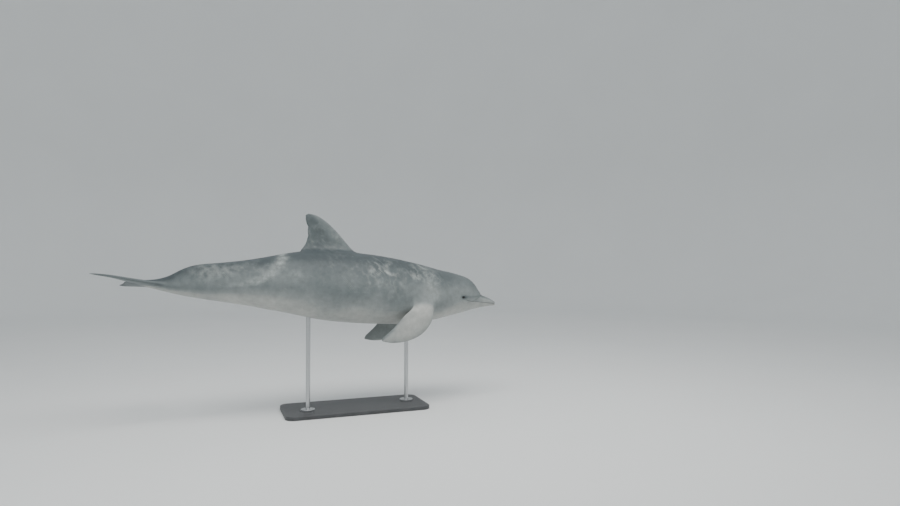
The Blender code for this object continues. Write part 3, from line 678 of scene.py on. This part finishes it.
def shape_skin(mesh):
    """Gives the straight skin its relief and stores what the material reads, then bends it."""
    p = SkinPoints(mesh)
    ear = hump(ear_distance(p.station, p.left, p.height), 1.8)
    mouth, mouth_shade = mouth_relief(p)
    hole, hole_shade = blowhole_relief(p)
    under, under_shade = under_relief(p)
    crease, crease_shade = crease_relief(p)
    relief = mouth + hole + under + crease + body_relief(p) - 1.8 * ear
    moved = p.at + p.normal * (relief * MM)[:, None]
    moved[:, 0] -= trailing_edge_shift(p)
    round_tips(p, moved)

    forward, upward, outward = eye_distances(moved)
    level_with_eye = np.abs(outward - EYE_SURFACE_MM) < EYE_REGION_DEPTH_MM
    near = (np.hypot(forward, upward) < EYE_REGION_MM) & level_with_eye
    lid, rim = lid_height(forward, upward, outward)
    change = np.where(near, lid - outward, 0.0) * MM
    side = np.where(moved[:, 1] < 0.0, -1.0, 1.0)
    moved += EYE_OUT * np.column_stack([np.ones(len(side)), side, np.ones(len(side))]) * change[:, None]

    # Painted shade: grooves, slits, pits, the ear hole and the lid edges are darkened where real shade would
    # fall.
    dark = mouth_shade + hole_shade + under_shade + np.where(near, rim, 0.0) + ear + 0.22 * crease_shade
    write(mesh, "straight", p.at * BODY_LENGTH)
    write(mesh, "tone", skin_tone(p, forward, upward, near))
    write(mesh, "blaze", pale_blaze_and_sunlit_shoulder(p))
    write(mesh, "scars_and_ripple_light", scars_and_ripple_light_share(p))
    write(mesh, "dark", np.clip(dark, 0.0, 1.0))
    write(mesh, "wrinkle", wrinkle_share(p, forward, upward, near))
    write(mesh, "rake", rake_share(p, RAKES, RAKE_LEAN))
    write(mesh, "rake_cross", rake_share(p, RAKES_CROSS, RAKE_CROSS_LEAN))
    mesh.vertices.foreach_set("co", SPINE.place(moved).astype(np.float32).ravel())
    mesh.update()


# ---------------- markings
# Tooth rakes: station and height of the middle, half width across the lines and half length along
# them in metres, side (-1 right, 1 left).  The lines of each set lean the same way.
RAKE_LEAN = 0.95
RAKE_CROSS_LEAN = -0.75
RAKES = ((0.395, 0.045, 0.020, 0.075, -1), (0.672, 0.018, 0.016, 0.055, -1),
         (0.300, -0.010, 0.020, 0.060, 1), (0.560, 0.055, 0.024, 0.080, 1))
RAKES_CROSS = ((0.480, 0.010, 0.017, 0.070, -1), (0.770, 0.026, 0.014, 0.040, -1),
               (0.440, 0.030, 0.020, 0.070, 1))

# Level of the border between belly and flank, and the height of the bridle stripe, along the body.
border_level = smooth_curve((0.0, 0.12, 0.22, 0.38, 0.50, 0.66, 0.80, 0.92, 1.0),
                            (-0.10, -0.16, -0.34, -0.22, -0.26, -0.12, -0.20, -0.30, -0.30))
bridle_height = smooth_curve((0.050, 0.085, 0.118), (0.0135, 0.0080, 0.0045))

# Station and half width of the pale blaze, by level, and the middles of the flippers and flukes.
blaze_station = smooth_curve((-0.10, 0.15, 0.45, 0.70, 1.00), (0.745, 0.705, 0.662, 0.645, 0.634))
blaze_width = smooth_curve((-0.10, 0.20, 0.60, 1.00), (0.040, 0.028, 0.015, 0.011))
flipper_middle = smooth_curve((-0.135, -0.1275, -0.1135, -0.094, -0.0655, -0.042),
                              (0.0710, 0.0750, 0.0785, 0.0815, 0.0848, 0.0835))
fluke_middle = smooth_curve([row[0] for row in FLUKE], [row[1] for row in FLUKE])

# Soft oval patches: station, half length, level, half height, strength.
# The shoulder oval is painted sunlight, lightening the shoulder above the flipper.
SUNLIT_SHOULDER = ((0.232, 0.040, 0.15, 0.75, 0.46),)
BLAZE_PATCHES = ((0.805, 0.050, 0.62, 0.36, 0.55), (0.612, 0.016, 0.30, 0.13, 0.60))
# The streak patches hold old scars and painted rippling light on the back, flank and tail stock.
SCARS_AND_RIPPLE_LIGHT_PATCHES = ((0.382, 0.110, 0.55, 0.38, 1.0), (0.365, 0.050, 0.08, 0.26, 0.5),
                 (0.250, 0.045, 0.66, 0.30, 1.0), (0.780, 0.090, 0.55, 0.35, 0.6))

# Tones, from 0 on the white of the belly to 1 on the darkest of the back.
DORSAL_TONE = 0.70
FLUKE_TONE = 0.74
# The flippers' pale tone is painted sunlight on their outer sides.
SUNLIT_FLIPPER_TONE = 0.03


def rake_share(p, patches, lean):
    """Long lens-shaped patches, drawn out along the lines they hold."""
    share = np.zeros(len(p.station))
    for station, height, width, length, side in patches:
        ahead = (p.station - station) * BODY_LENGTH
        above = (p.height - height) * BODY_LENGTH
        across = ahead * math.cos(lean) + above * math.sin(lean)
        along = above * math.cos(lean) - ahead * math.sin(lean)
        here = hump(across, width) * hump(along, length)
        share = np.maximum(share, here * (p.left * side >= 0.0))
    return share * p.body


def ovals(p, patches):
    """Soft oval patches of the body, each with its own strength."""
    return sum(strength * hump(p.station - station, length) * hump(p.level - level, height)
               for station, length, level, height, strength in patches)


def body_tone(p, forward, upward, near):
    """Pale belly, grey flanks and dark cape, with the head's own shades, the shoulder painted paler as if
    sunlit, and painted shade on top of the back at the dorsal fin's base.
    """
    level = p.level + 0.10 * unevenness(p.at, 11.0)
    border = border_level(p.station)
    flank = 0.50 * rise(border - 0.55, border + 0.15, level)
    cape = 0.50 * rise(border + 0.38, border + 1.10, level)
    head = fall(0.10, 0.24, p.station)
    tone = (0.11 + 0.89 * (flank + cape)) * (1.0 - 0.30 * head)
    below_mouth = fall(-3.0 * MM, 3.0 * MM, p.height - mouth_height(p.station))
    jaw = fall(0.09, 0.15, p.station) * below_mouth
    tone = tone * (1.0 - 0.70 * jaw) + 0.08 * jaw
    beak_side = fall(0.050, 0.066, p.station) * fall(0.2, 0.9, p.level) * (1.0 - below_mouth)
    # The shoulder oval lightens the tone as painted sunlight.
    tone = tone * (1.0 - 0.35 * beak_side) * (1.0 - ovals(p, SUNLIT_SHOULDER))
    eye_reach = np.hypot(np.where(forward > 0.0, forward / 1.5, forward / 1.1), (upward - 1.0) / 0.72)
    bridle = hump(p.height - bridle_height(p.station), 0.0032) * between(0.058, 0.110, 0.010, p.station)
    tone = tone + 0.60 * np.where(near, hump(eye_reach, 17.0), 0.0) + 0.16 * bridle
    tone = tone + (FLUKE_TONE - tone) * rise(TAIL_END, 0.99, p.station)
    # Painted shade: the top of the back round the dorsal fin's base is darkened, damping the highlight that
    # falls there.
    return tone + 0.22 * hump(p.station - 0.500, 0.090) * rise(0.86, 0.99, p.level)


def fin_tone(p):
    """Dark dorsal fin and flukes with painted shade at the dorsal fin's root, and flippers painted pale as if
    sunlit, with painted shade darkening their inner sides.
    """
    smear = hump(p.chord - 0.62, 0.20) * hump(p.span - 0.55, 0.35)
    # Painted shade: the last term darkens the dorsal fin's root, damping the highlight on its fillet.
    dorsal = DORSAL_TONE + 0.16 * smear - 0.12 * (1.0 - p.chord) ** 4 + 0.26 * hump(p.span, 0.16)
    # Painted shade: the flippers' inner sides, towards the body, are darker.
    inner = rise(-0.0014, 0.0014, flipper_middle(p.height) - np.abs(p.left))
    flipper = SUNLIT_FLIPPER_TONE + 0.17 * p.span ** 2 + 0.14 * (1.0 - p.chord) ** 6 + 0.22 * inner
    fluke = FLUKE_TONE - 0.22 * rise(0.0, 0.003, fluke_middle(np.abs(p.left)) - p.height) * p.span
    return (dorsal * p.dorsal + flipper * p.flipper + fluke * p.fluke) / np.maximum(1.0 - p.body, 0.001)


def skin_tone(p, forward, upward, near):
    """0 on the white of the belly, 1 on the darkest of the back."""
    blend = (1.0 - p.body) * rise(0.0, 0.22, p.span)
    tone = body_tone(p, forward, upward, near) * (1.0 - blend) + fin_tone(p) * blend
    rear_edge = np.clip(p.chord, 0.0, 1.0) ** 3 * (1.0 - p.body)
    return np.clip(tone + 0.08 * rear_edge, 0.0, 1.0)


def pale_blaze_and_sunlit_shoulder(p):
    """The blaze that climbs from the flank to the back, the paler tail stock and spots, and a band before the
    flipper painted pale as if sunlit.
    """
    level = np.clip(p.level, -0.1, 1.0)
    behind = hump(p.station - blaze_station(level), blaze_width(level)) * rise(-0.12, 0.12, p.level)
    # Painted light: a narrow pale band just ahead of the flipper, where sunlight falls on the shoulder.
    shoulder = 0.50 * hump(p.station - 0.216 - 0.03 * p.level, 0.016) * between(-0.10, 0.62, 0.30, p.level)
    return np.clip(behind + ovals(p, BLAZE_PATCHES) + shoulder, 0.0, 1.0) * p.body


def scars_and_ripple_light_share(p):
    """Where pale broken streaks lie, partly old scars and partly painted rippling light: thickest on the side
    of the back between dorsal fin and head.
    """
    fin = 0.4 * p.dorsal * hump(p.span - 0.50, 0.38)
    return np.clip(ovals(p, SCARS_AND_RIPPLE_LIGHT_PATCHES) * p.body + fin, 0.0, 1.0)


def wrinkle_share(p, forward, upward, near):
    """Where fine folds gather: round the eye, the mouth corner, the neck and the fins' roots."""
    eye = np.where(near, hump(np.hypot(forward, upward), 28.0), 0.0)
    neck = between(0.165, 0.215, 0.025, p.station) * fall(0.2, 0.8, p.level)
    corner = hump(side_distance(p.station, p.height, MOUTH_LINE[-1]), 22.0)
    root = between(0.285, 0.31, 0.02, p.station) * hump(p.level + 0.4, 0.3)
    return np.clip(eye + 0.25 * neck + corner + 0.4 * root, 0.0, 1.0)


def in_scene(name, data):
    item = bpy.data.objects.new(name, data)
    bpy.context.scene.collection.objects.link(item)
    return item


def new_object(name, shape, material):
    """A smooth-shaded object made from a bmesh, which is freed."""
    mesh = bpy.data.meshes.new(name)
    shape.to_mesh(mesh)
    shape.free()
    mesh.shade_smooth()
    mesh.materials.append(material)
    return in_scene(name, mesh)


def make_skin():
    skin = new_object("skin", straight_cage(), skin_material())
    smoothing = skin.modifiers.new("smoothing", "SUBSURF")
    smoothing.levels = SMOOTHING_LEVELS
    smoothing.render_levels = SMOOTHING_LEVELS
    bpy.context.view_layer.update()
    skin.data = bpy.data.meshes.new_from_object(skin.evaluated_get(bpy.context.evaluated_depsgraph_get()))
    skin.modifiers.clear()
    refine(skin.data)
    shape_skin(skin.data)
    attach(skin, "root")
    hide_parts("upper_beak", "lower_jaw", "head", "chest", "loin", "tail_stock", "dorsal_fin",
                "flipper_left", "flipper_right", "fluke_left", "fluke_right")


# ---------------- materials
class Finish:
    """A material, with short ways to add shader nodes.  An input is a value or another node's output."""

    def __init__(self, name):
        self.material = bpy.data.materials.new(name)
        self.material.use_nodes = True
        self.tree = self.material.node_tree

    def connect(self, node, inputs):
        for name, value in inputs.items():
            socket = node.inputs[name]
            if isinstance(value, bpy.types.NodeSocket):
                self.tree.links.new(value, socket)
            else:
                socket.default_value = (*value, 1.0) if socket.type == "RGBA" else value

    def add(self, kind, inputs, output=0, **settings):
        node = self.tree.nodes.new("ShaderNode" + kind)
        for name, value in settings.items():
            setattr(node, name, value)
        self.connect(node, inputs)
        return node.outputs[output]

    def finished(self, inputs):
        self.connect(self.tree.nodes["Principled BSDF"], inputs)
        return self.material

    def attribute(self, name, output="Fac"):
        return self.add("Attribute", {}, output, attribute_name=name)

    def object_place(self):
        return self.add("TexCoord", {}, "Object")

    def maths(self, operation, *values, clamp=False):
        return self.add("Math", dict(enumerate(values)), operation=operation, use_clamp=clamp)

    def total(self, first, second):
        """A sum, kept between 0 and 1."""
        return self.maths("ADD", first, second, clamp=True)

    def product(self, first, second, clamp=False):
        return self.maths("MULTIPLY", first, second, clamp=clamp)

    def line(self, value, slope, base):
        return self.maths("MULTIPLY_ADD", value, slope, base)

    def sway(self, value, amount, base):
        """A base, raised or lowered by a value that lies round one half."""
        return self.line(self.maths("SUBTRACT", value, 0.5), amount, base)

    def scaled(self, vector, scale):
        return self.add("VectorMath", {0: vector, 1: scale}, operation="MULTIPLY")

    def stretched(self, vector, factor):
        return self.add("VectorMath", {0: vector, "Scale": factor}, operation="SCALE")

    def leant(self, vector, angle):
        """Turned about the animal's left-right axis."""
        return self.add("VectorRotate", {"Vector": vector, "Angle": angle}, rotation_type="Y_AXIS")

    def noise(self, vector, scale, detail=4.0, roughness=0.55, output="Fac"):
        inputs = {"Vector": vector, "Scale": scale, "Detail": detail, "Roughness": roughness}
        return self.add("TexNoise", inputs, output)

    def bands(self, vector, scale, distortion, detail, detail_scale):
        inputs = {"Vector": vector, "Scale": scale, "Distortion": distortion, "Detail": detail,
                  "Detail Scale": detail_scale}
        return self.add("TexWave", inputs, "Fac", wave_type="BANDS", bands_direction="X")

    def share(self, value, low, high):
        """0 below low and 1 above high."""
        return self.add("MapRange", {"Value": value, "From Min": low, "From Max": high}, clamp=True)

    def mix(self, share, first, second):
        """Blends two colours; the numbers are the Mix node's sockets for colours."""
        return self.add("Mix", {0: share, 6: first, 7: second}, 2, data_type="RGBA")

    def ramp(self, value, stops):
        colour = self.add("ValToRGB", {"Fac": value})
        elements = colour.node.color_ramp.elements
        while len(elements) < len(stops):
            elements.new(0.5)
        for element, (place, shade) in zip(elements, stops):
            element.position = place
            element.color = (*shade, 1.0)
        return colour

    def bump(self, height, distance, strength, below=None):
        """Relief that rises by the distance, in metres, as height goes from 0 to 1, on the relief below."""
        inputs = {"Height": height, "Distance": distance, "Strength": strength}
        if below is not None:
            inputs["Normal"] = below
        return self.add("Bump", inputs)


# Skin: shades from the belly to the back, scars that also carry painted rippling light, and the painted shade
# of folds and grooves.
SKIN_STOPS = ((0.02, (0.476, 0.480, 0.456)), (0.30, (0.276, 0.299, 0.296)), (0.58, (0.152, 0.175, 0.178)),
              (0.96, (0.062, 0.076, 0.082)))
# Pale colour of old scars and marks; the streaks also use it for painted rippling light.
SCAR_AND_RIPPLE_LIGHT = (0.420, 0.450, 0.430)
GROOVE_SHADE = (0.022, 0.025, 0.026)
BLAZE_AND_SUNLIT_SHOULDER = (0.400, 0.435, 0.420)

# Eye, by distance from the middle of its front: pupil, iris, its dark rim, and the veined white.
EYE_STOPS = ((0.20, (0.003, 0.003, 0.004)), (0.27, (0.022, 0.015, 0.010)), (0.52, (0.040, 0.028, 0.018)),
             (0.62, (0.010, 0.008, 0.007)), (0.78, (0.090, 0.082, 0.076)))

STEEL_SHADES = ((0.50, 0.51, 0.52), (0.62, 0.63, 0.64))
PAINT_SHADES = ((0.048, 0.050, 0.053), (0.078, 0.081, 0.085))
PAINT_FLECK = (0.16, 0.165, 0.17)
FLOOR_SHADES = ((0.76, 0.772, 0.770), (0.81, 0.822, 0.818))


def pale_streaks(skin, place, broad, mottle):
    """Broken pale streaks, partly old scars and partly painted rippling light: the soft rims of uneven cells,
    broken up in patches.
    """
    wavy = skin.noise(place, 16.0, 3.0, 0.5, "Color")
    bent = skin.add("VectorMath", {0: place, 1: skin.stretched(wavy, 0.12)}, operation="ADD")
    cells = skin.add("TexVoronoi", {"Vector": skin.scaled(skin.leant(bent, -0.5), (27.0, 20.0, 15.0)),
                                    "Scale": 1.0, "Smoothness": 0.30}, "Distance", feature="SMOOTH_F1")
    rims = skin.maths("POWER", skin.share(cells, 0.26, 0.72), 1.6)
    scars_and_ripple_light = skin.product(rims, skin.share(broad, 0.34, 0.60))
    scars_and_ripple_light = skin.product(scars_and_ripple_light, skin.attribute("scars_and_ripple_light"))
    return skin.product(scars_and_ripple_light, skin.share(mottle, 0.25, 0.70))


def scratches(skin, place):
    """Old scratches: long and thin, running mostly along the body."""
    along = skin.noise(skin.scaled(place, (3.2, 95.0, 95.0)), 1.0, 2.0, 0.4)
    across = skin.noise(skin.scaled(skin.leant(place, 0.5), (5.0, 120.0, 120.0)), 1.0, 2.0, 0.4)
    return skin.total(skin.share(along, 0.715, 0.775), skin.share(across, 0.725, 0.785))


def rake_lines(skin, place, lean, mask):
    """Tooth rakes: short sets of thin, nearly even lines that fade at both ends."""
    lines = skin.bands(skin.leant(place, lean), 34.0, 1.3, 1.0, 0.6)
    # A line shows only where the wave is above a level that falls towards the middle of the patch.
    thin = skin.share(skin.line(skin.attribute(mask), 0.14, lines), 1.00, 1.08)
    return skin.product(thin, skin.share(skin.attribute(mask), 0.20, 0.60))


def skin_material():
    skin = Finish("dolphin_skin")
    place = skin.attribute("straight", "Vector")
    broad = skin.noise(place, 5.0, 5.0)
    mottle = skin.noise(place, 26.0, 6.0, 0.6)
    grain = skin.noise(place, 240.0, 3.0)
    colour = skin.ramp(skin.sway(broad, 0.34, skin.attribute("tone")), SKIN_STOPS)
    # The blaze colour also carries the shoulder band painted pale as if sunlit.
    blaze = skin.product(skin.attribute("blaze"), skin.share(mottle, 0.25, 0.65))
    colour = skin.mix(skin.product(blaze, 0.70), colour, BLAZE_AND_SUNLIT_SHOULDER)
    # Pale streaks: partly old scars, partly painted rippling light.
    scars_and_ripple_light = pale_streaks(skin, place, broad, mottle)
    colour = skin.mix(skin.product(scars_and_ripple_light, 0.95, clamp=True), colour, SCAR_AND_RIPPLE_LIGHT)

    rakes = skin.total(rake_lines(skin, place, RAKE_LEAN, "rake"),
                       rake_lines(skin, place, RAKE_CROSS_LEAN, "rake_cross"))
    marks = skin.total(skin.product(scratches(skin, place), 0.20), skin.product(rakes, 0.34))
    colour = skin.mix(marks, colour, SCAR_AND_RIPPLE_LIGHT)
    colour = skin.stretched(colour, skin.sway(grain, 0.20, skin.sway(mottle, 0.60, 1.0)))
    # Painted shade: grooves, slits, pits and lid edges are darkened where real shade would fall.
    colour = skin.mix(skin.product(skin.attribute("dark"), 0.90, clamp=True), colour, GROOVE_SHADE)
    roughness = skin.line(marks, 0.12, skin.line(mottle, 0.24, 0.38))

    # Relief: fine folds where the skin bends, pores, a soft unevenness, and the marks.
    folds = skin.bands(skin.scaled(place, (1.0, 0.35, 0.35)), 42.0, 9.0, 3.0, 1.2)
    folds = skin.product(folds, skin.attribute("wrinkle"))
    relief = skin.bump(skin.product(folds, skin.share(broad, 0.42, 0.60)), 0.0009, 0.32)
    relief = skin.bump(grain, 0.0003, 0.5, relief)
    relief = skin.bump(mottle, 0.0016, 0.4, relief)
    relief = skin.bump(marks, 0.0007, 0.5, relief)
    return skin.finished({"Base Color": colour, "Roughness": roughness, "Specular IOR Level": 0.17,
                          "Coat Weight": 0.03, "Coat Roughness": 0.28, "Normal": relief})


def eye_material():
    eye = Finish("dolphin_eye")
    fibres = eye.noise(eye.scaled(eye.attribute("iris", "Vector"), (1.0, 1.0, 0.1)), 900.0, 3.0)
    colour = eye.ramp(eye.sway(fibres, 0.07, eye.attribute("gaze")), EYE_STOPS)
    return eye.finished({"Base Color": colour, "Roughness": 0.06, "Coat Weight": 0.30,
                         "Coat Roughness": 0.02})


def steel_material():
    steel = Finish("brushed_rod_steel")
    place = steel.object_place()
    brushed = steel.noise(steel.scaled(place, (6.0, 6.0, 1300.0)), 1.0, 4.0, 0.6)
    smudge = steel.noise(place, 14.0, 4.0)
    return steel.finished({"Base Color": steel.mix(steel.share(brushed, 0.3, 0.7), *STEEL_SHADES),
                           "Roughness": steel.line(brushed, 0.16, steel.line(smudge, 0.14, 0.16)),
                           "Metallic": 1.0, "Normal": steel.bump(brushed, 0.00008, 0.6)})


def paint_material():
    paint = Finish("base_powder_coat")
    place = paint.object_place()
    peel = paint.noise(place, 750.0, 3.0)
    haze = paint.noise(place, 9.0, 6.0)
    flecks = paint.product(paint.share(paint.noise(place, 420.0, 1.0), 0.70, 0.76), 0.25)
    colour = paint.mix(paint.share(haze, 0.30, 0.75), *PAINT_SHADES)
    return paint.finished({"Base Color": paint.mix(flecks, colour, PAINT_FLECK),
                           "Roughness": paint.line(haze, 0.22, 0.38),
                           "Normal": paint.bump(peel, 0.0004, 0.7)})


def floor_material():
    floor = Finish("studio_floor")
    cloud = floor.noise(floor.object_place(), 0.7, 5.0)
    return floor.finished({"Base Color": floor.mix(cloud, *FLOOR_SHADES), "Roughness": 0.75})


# ---------------- eyes
CORNEA_BULGE = 0.0006
CORNEA_RADIUS = 0.45        # in radii of the eyeball
IRIS_STRETCH = (0.80, 1.15)    # the iris is an oval, longer from front to back


def make_eye(name, node, side, material):
    """A wet eyeball with a slightly bulging cornea, set where the CAD eye is."""
    def posed_skin(station, angle):
        station, left, up = section_point(station, angle)
        return SPINE.place_one((station, side * left, up))

    centre, outward, forward, upward = eye_frame(posed_skin, side, 1.0)
    turn = Matrix((forward, upward, outward)).transposed()
    shape = bmesh.new()
    bmesh.ops.create_uvsphere(shape, u_segments=64, v_segments=48, radius=1.0)
    gaze = shape.verts.layers.float.new("gaze")
    iris = shape.verts.layers.float_vector.new("iris")
    for vertex in shape.verts:
        local = vertex.co.copy()
        vertex[gaze] = 1.0
        vertex[iris] = local * EYE_RADIUS
        bulge = 0.0
        if local.z > 0.0:
            vertex[gaze] = Vector((local.x * IRIS_STRETCH[0], local.y * IRIS_STRETCH[1])).length
            bulge = CORNEA_BULGE * math.exp(-(math.hypot(local.x, local.y) / CORNEA_RADIUS) ** 2)
        vertex.co = centre + turn @ local * (EYE_RADIUS + bulge)
    eye = new_object(name, shape, material)
    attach(eye, "root")
    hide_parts(node)


# ---------------- stand
FOOT_EDGE = 0.0015
ROD_IN_BELLY = 0.006
SCREWS = 3
SCREW_CIRCLE = 0.031
SMOOTH_UNDER = 35.0        # degrees between faces that are shaded as one surface
BASE_SMOOTH_UNDER = 50.0

# Half outline of a screw's head with its socket: radius, height above the foot.
SCREW_OUTLINE = ((0.0, 0.0012), (0.0022, 0.0012), (0.0024, 0.0026), (0.0046, 0.0022), (0.0055, 0.0004),
                 (0.0055, -0.0005), (0.0, -0.0005))


def spun(outline, sides):
    """A surface of revolution about the vertical axis; the outline is (radius, height)."""
    shape = bmesh.new()
    line = [shape.verts.new((radius, 0.0, height)) for radius, height in outline]
    edges = [shape.edges.new(pair) for pair in zip(line, line[1:])]
    bmesh.ops.spin(shape, geom=line + edges, cent=(0.0, 0.0, 0.0), axis=(0.0, 0.0, 1.0),
                   dvec=(0.0, 0.0, 0.0), angle=2.0 * math.pi, steps=sides, use_merge=True)
    bmesh.ops.remove_doubles(shape, verts=shape.verts, dist=0.00001)
    return shape


def edged_object(name, shape, material, smooth_under=SMOOTH_UNDER):
    """An object with crisp edges that rides on the one body."""
    bmesh.ops.recalc_face_normals(shape, faces=shape.faces)
    item = new_object(name, shape, material)
    item.data.set_sharp_from_angle(angle=math.radians(smooth_under))
    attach(item, "root")
    return item


def turned(name, outline, centre, material, sides=64):
    shape = spun(outline, sides)
    bmesh.ops.translate(shape, verts=shape.verts, vec=centre)
    return edged_object(name, shape, material)


def rounded(points, radius, steps=5):
    """An outline with its inner corners rounded."""
    done = [points[0]]
    for before, corner, after in zip(points, points[1:], points[2:]):
        corner = Vector(corner)
        back = (Vector(before) - corner).normalized() * radius
        ahead = (Vector(after) - corner).normalized() * radius
        for i in range(steps + 1):
            t = i / steps
            done.append(tuple(corner + back * (1.0 - t) ** 2 + ahead * t * t))
    return done + [points[-1]]


def make_rod(name, node, station, material):
    """A rod on a turned foot, running up into the belly, with its foot's screws."""
    belly = SPINE.place_one((station, 0.0, -float(belly_depth(station))))
    foot = BASE_THICKNESS + SURFACE_GAP
    top = foot + ROD_FLANGE_HEIGHT
    end = belly.z + ROD_IN_BELLY
    outline = rounded([(ROD_FLANGE_RADIUS - 0.001, foot), (ROD_FLANGE_RADIUS, foot),
                       (ROD_FLANGE_RADIUS, top), (ROD_RADIUS, top), (ROD_RADIUS, belly.z)], FOOT_EDGE)
    outline = [(0.0, foot)] + outline + [(ROD_RADIUS, end), (0.0, end)]
    rod = turned(name, outline, (belly.x, belly.y, 0.0), material)
    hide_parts(node)
    head = [(radius, top + height) for radius, height in SCREW_OUTLINE]
    for i in range(SCREWS):
        angle = math.radians(90.0 + 360.0 / SCREWS * i)
        place = (belly.x + SCREW_CIRCLE * math.cos(angle), belly.y + SCREW_CIRCLE * math.sin(angle), 0.0)
        screw = turned(f"{name}_screw_{i + 1}", head, place, material, 24)


def make_base(material):
    shape = bmesh.new()
    size = Matrix.Diagonal((BASE_LENGTH, BASE_WIDTH, BASE_THICKNESS, 1.0))
    bmesh.ops.create_cube(shape, size=1.0, matrix=Matrix.Translation((0.0, 0.0, BASE_THICKNESS / 2.0)) @ size)
    upright = [edge for edge in shape.edges
               if abs(edge.verts[0].co.z - edge.verts[1].co.z) > BASE_THICKNESS / 2.0]
    bmesh.ops.bevel(shape, geom=upright, offset=BASE_CORNER, segments=24, affect="EDGES", profile=0.5)
    rim = [edge for edge in shape.edges if min(vertex.co.z for vertex in edge.verts) > BASE_THICKNESS / 2.0]
    bmesh.ops.bevel(shape, geom=rim, offset=BASE_EDGE, segments=5, affect="EDGES", profile=0.5)
    base = edged_object("base_plate", shape, material, BASE_SMOOTH_UNDER)
    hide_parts("stand_base")


# ---------------- studio
FLOOR_RADIUS = 9.0
SWEEP_RADIUS = 3.5
SWEEP_STEPS = 24
WALL_HEIGHT = 12.0


def make_studio():
    """A round floor that sweeps up into a plain wall."""
    turns = [math.pi / 2.0 * i / SWEEP_STEPS for i in range(SWEEP_STEPS + 1)]
    sweep = [(FLOOR_RADIUS + SWEEP_RADIUS * math.sin(turn), SWEEP_RADIUS * (1.0 - math.cos(turn)))
             for turn in turns]
    outline = [(0.0, 0.0)] + sweep + [(FLOOR_RADIUS + SWEEP_RADIUS, WALL_HEIGHT)]
    new_object("studio_sweep", spun(outline, 96), floor_material())


def area_light(name, place, target, size, power, colour):
    light = bpy.data.lights.new(name, "AREA")
    light.shape = "RECTANGLE"
    light.size, light.size_y = size
    light.energy = power
    light.color = colour
    item = in_scene(name, light)
    item.location = place
    item.rotation_euler = (Vector(target) - Vector(place)).to_track_quat("-Z", "Y").to_euler()


def make_lights():
    world = bpy.data.worlds.new("studio_air")
    bpy.context.scene.world = world
    world.use_nodes = True
    background = world.node_tree.nodes["Background"]
    background.inputs["Color"].default_value = (0.93, 0.97, 1.0, 1.0)
    background.inputs["Strength"].default_value = 0.85
    area_light("key", (0.2, -1.7, 4.4), (0.0, 0.0, 0.8), (4.2, 2.4), power=165.0, colour=(1.0, 0.99, 0.96))
    area_light("fill", (-3.4, -3.6, 1.8), (-0.2, 0.0, 0.8), (2.2, 2.2), power=8.0, colour=(0.95, 0.98, 1.0))


def make_camera():
    data = bpy.data.cameras.new("camera")
    data.sensor_width = 36.0
    data.lens = CAMERA_LENS
    camera = in_scene("camera", data)
    camera.location = Vector(ANCHOR) + Vector(CAMERA_OFFSET)
    heading = math.radians(CAMERA_HEADING)
    tilt = math.radians(CAMERA_TILT)
    aim = Vector((math.sin(heading) * math.cos(tilt), math.cos(heading) * math.cos(tilt), math.sin(tilt)))
    camera.rotation_euler = aim.to_track_quat("-Z", "Y").to_euler()
    bpy.context.scene.camera = camera


make_camera()
make_skin()
eye_surface = eye_material()
make_eye("eyeball_left", "eye_left", 1.0, eye_surface)
make_eye("eyeball_right", "eye_right", -1.0, eye_surface)
steel = steel_material()
make_rod("rod_front", "stand_rod_front", ROD_STATIONS[0], steel)
make_rod("rod_rear", "stand_rod_rear", ROD_STATIONS[1], steel)
make_base(paint_material())
make_studio()
make_lights()
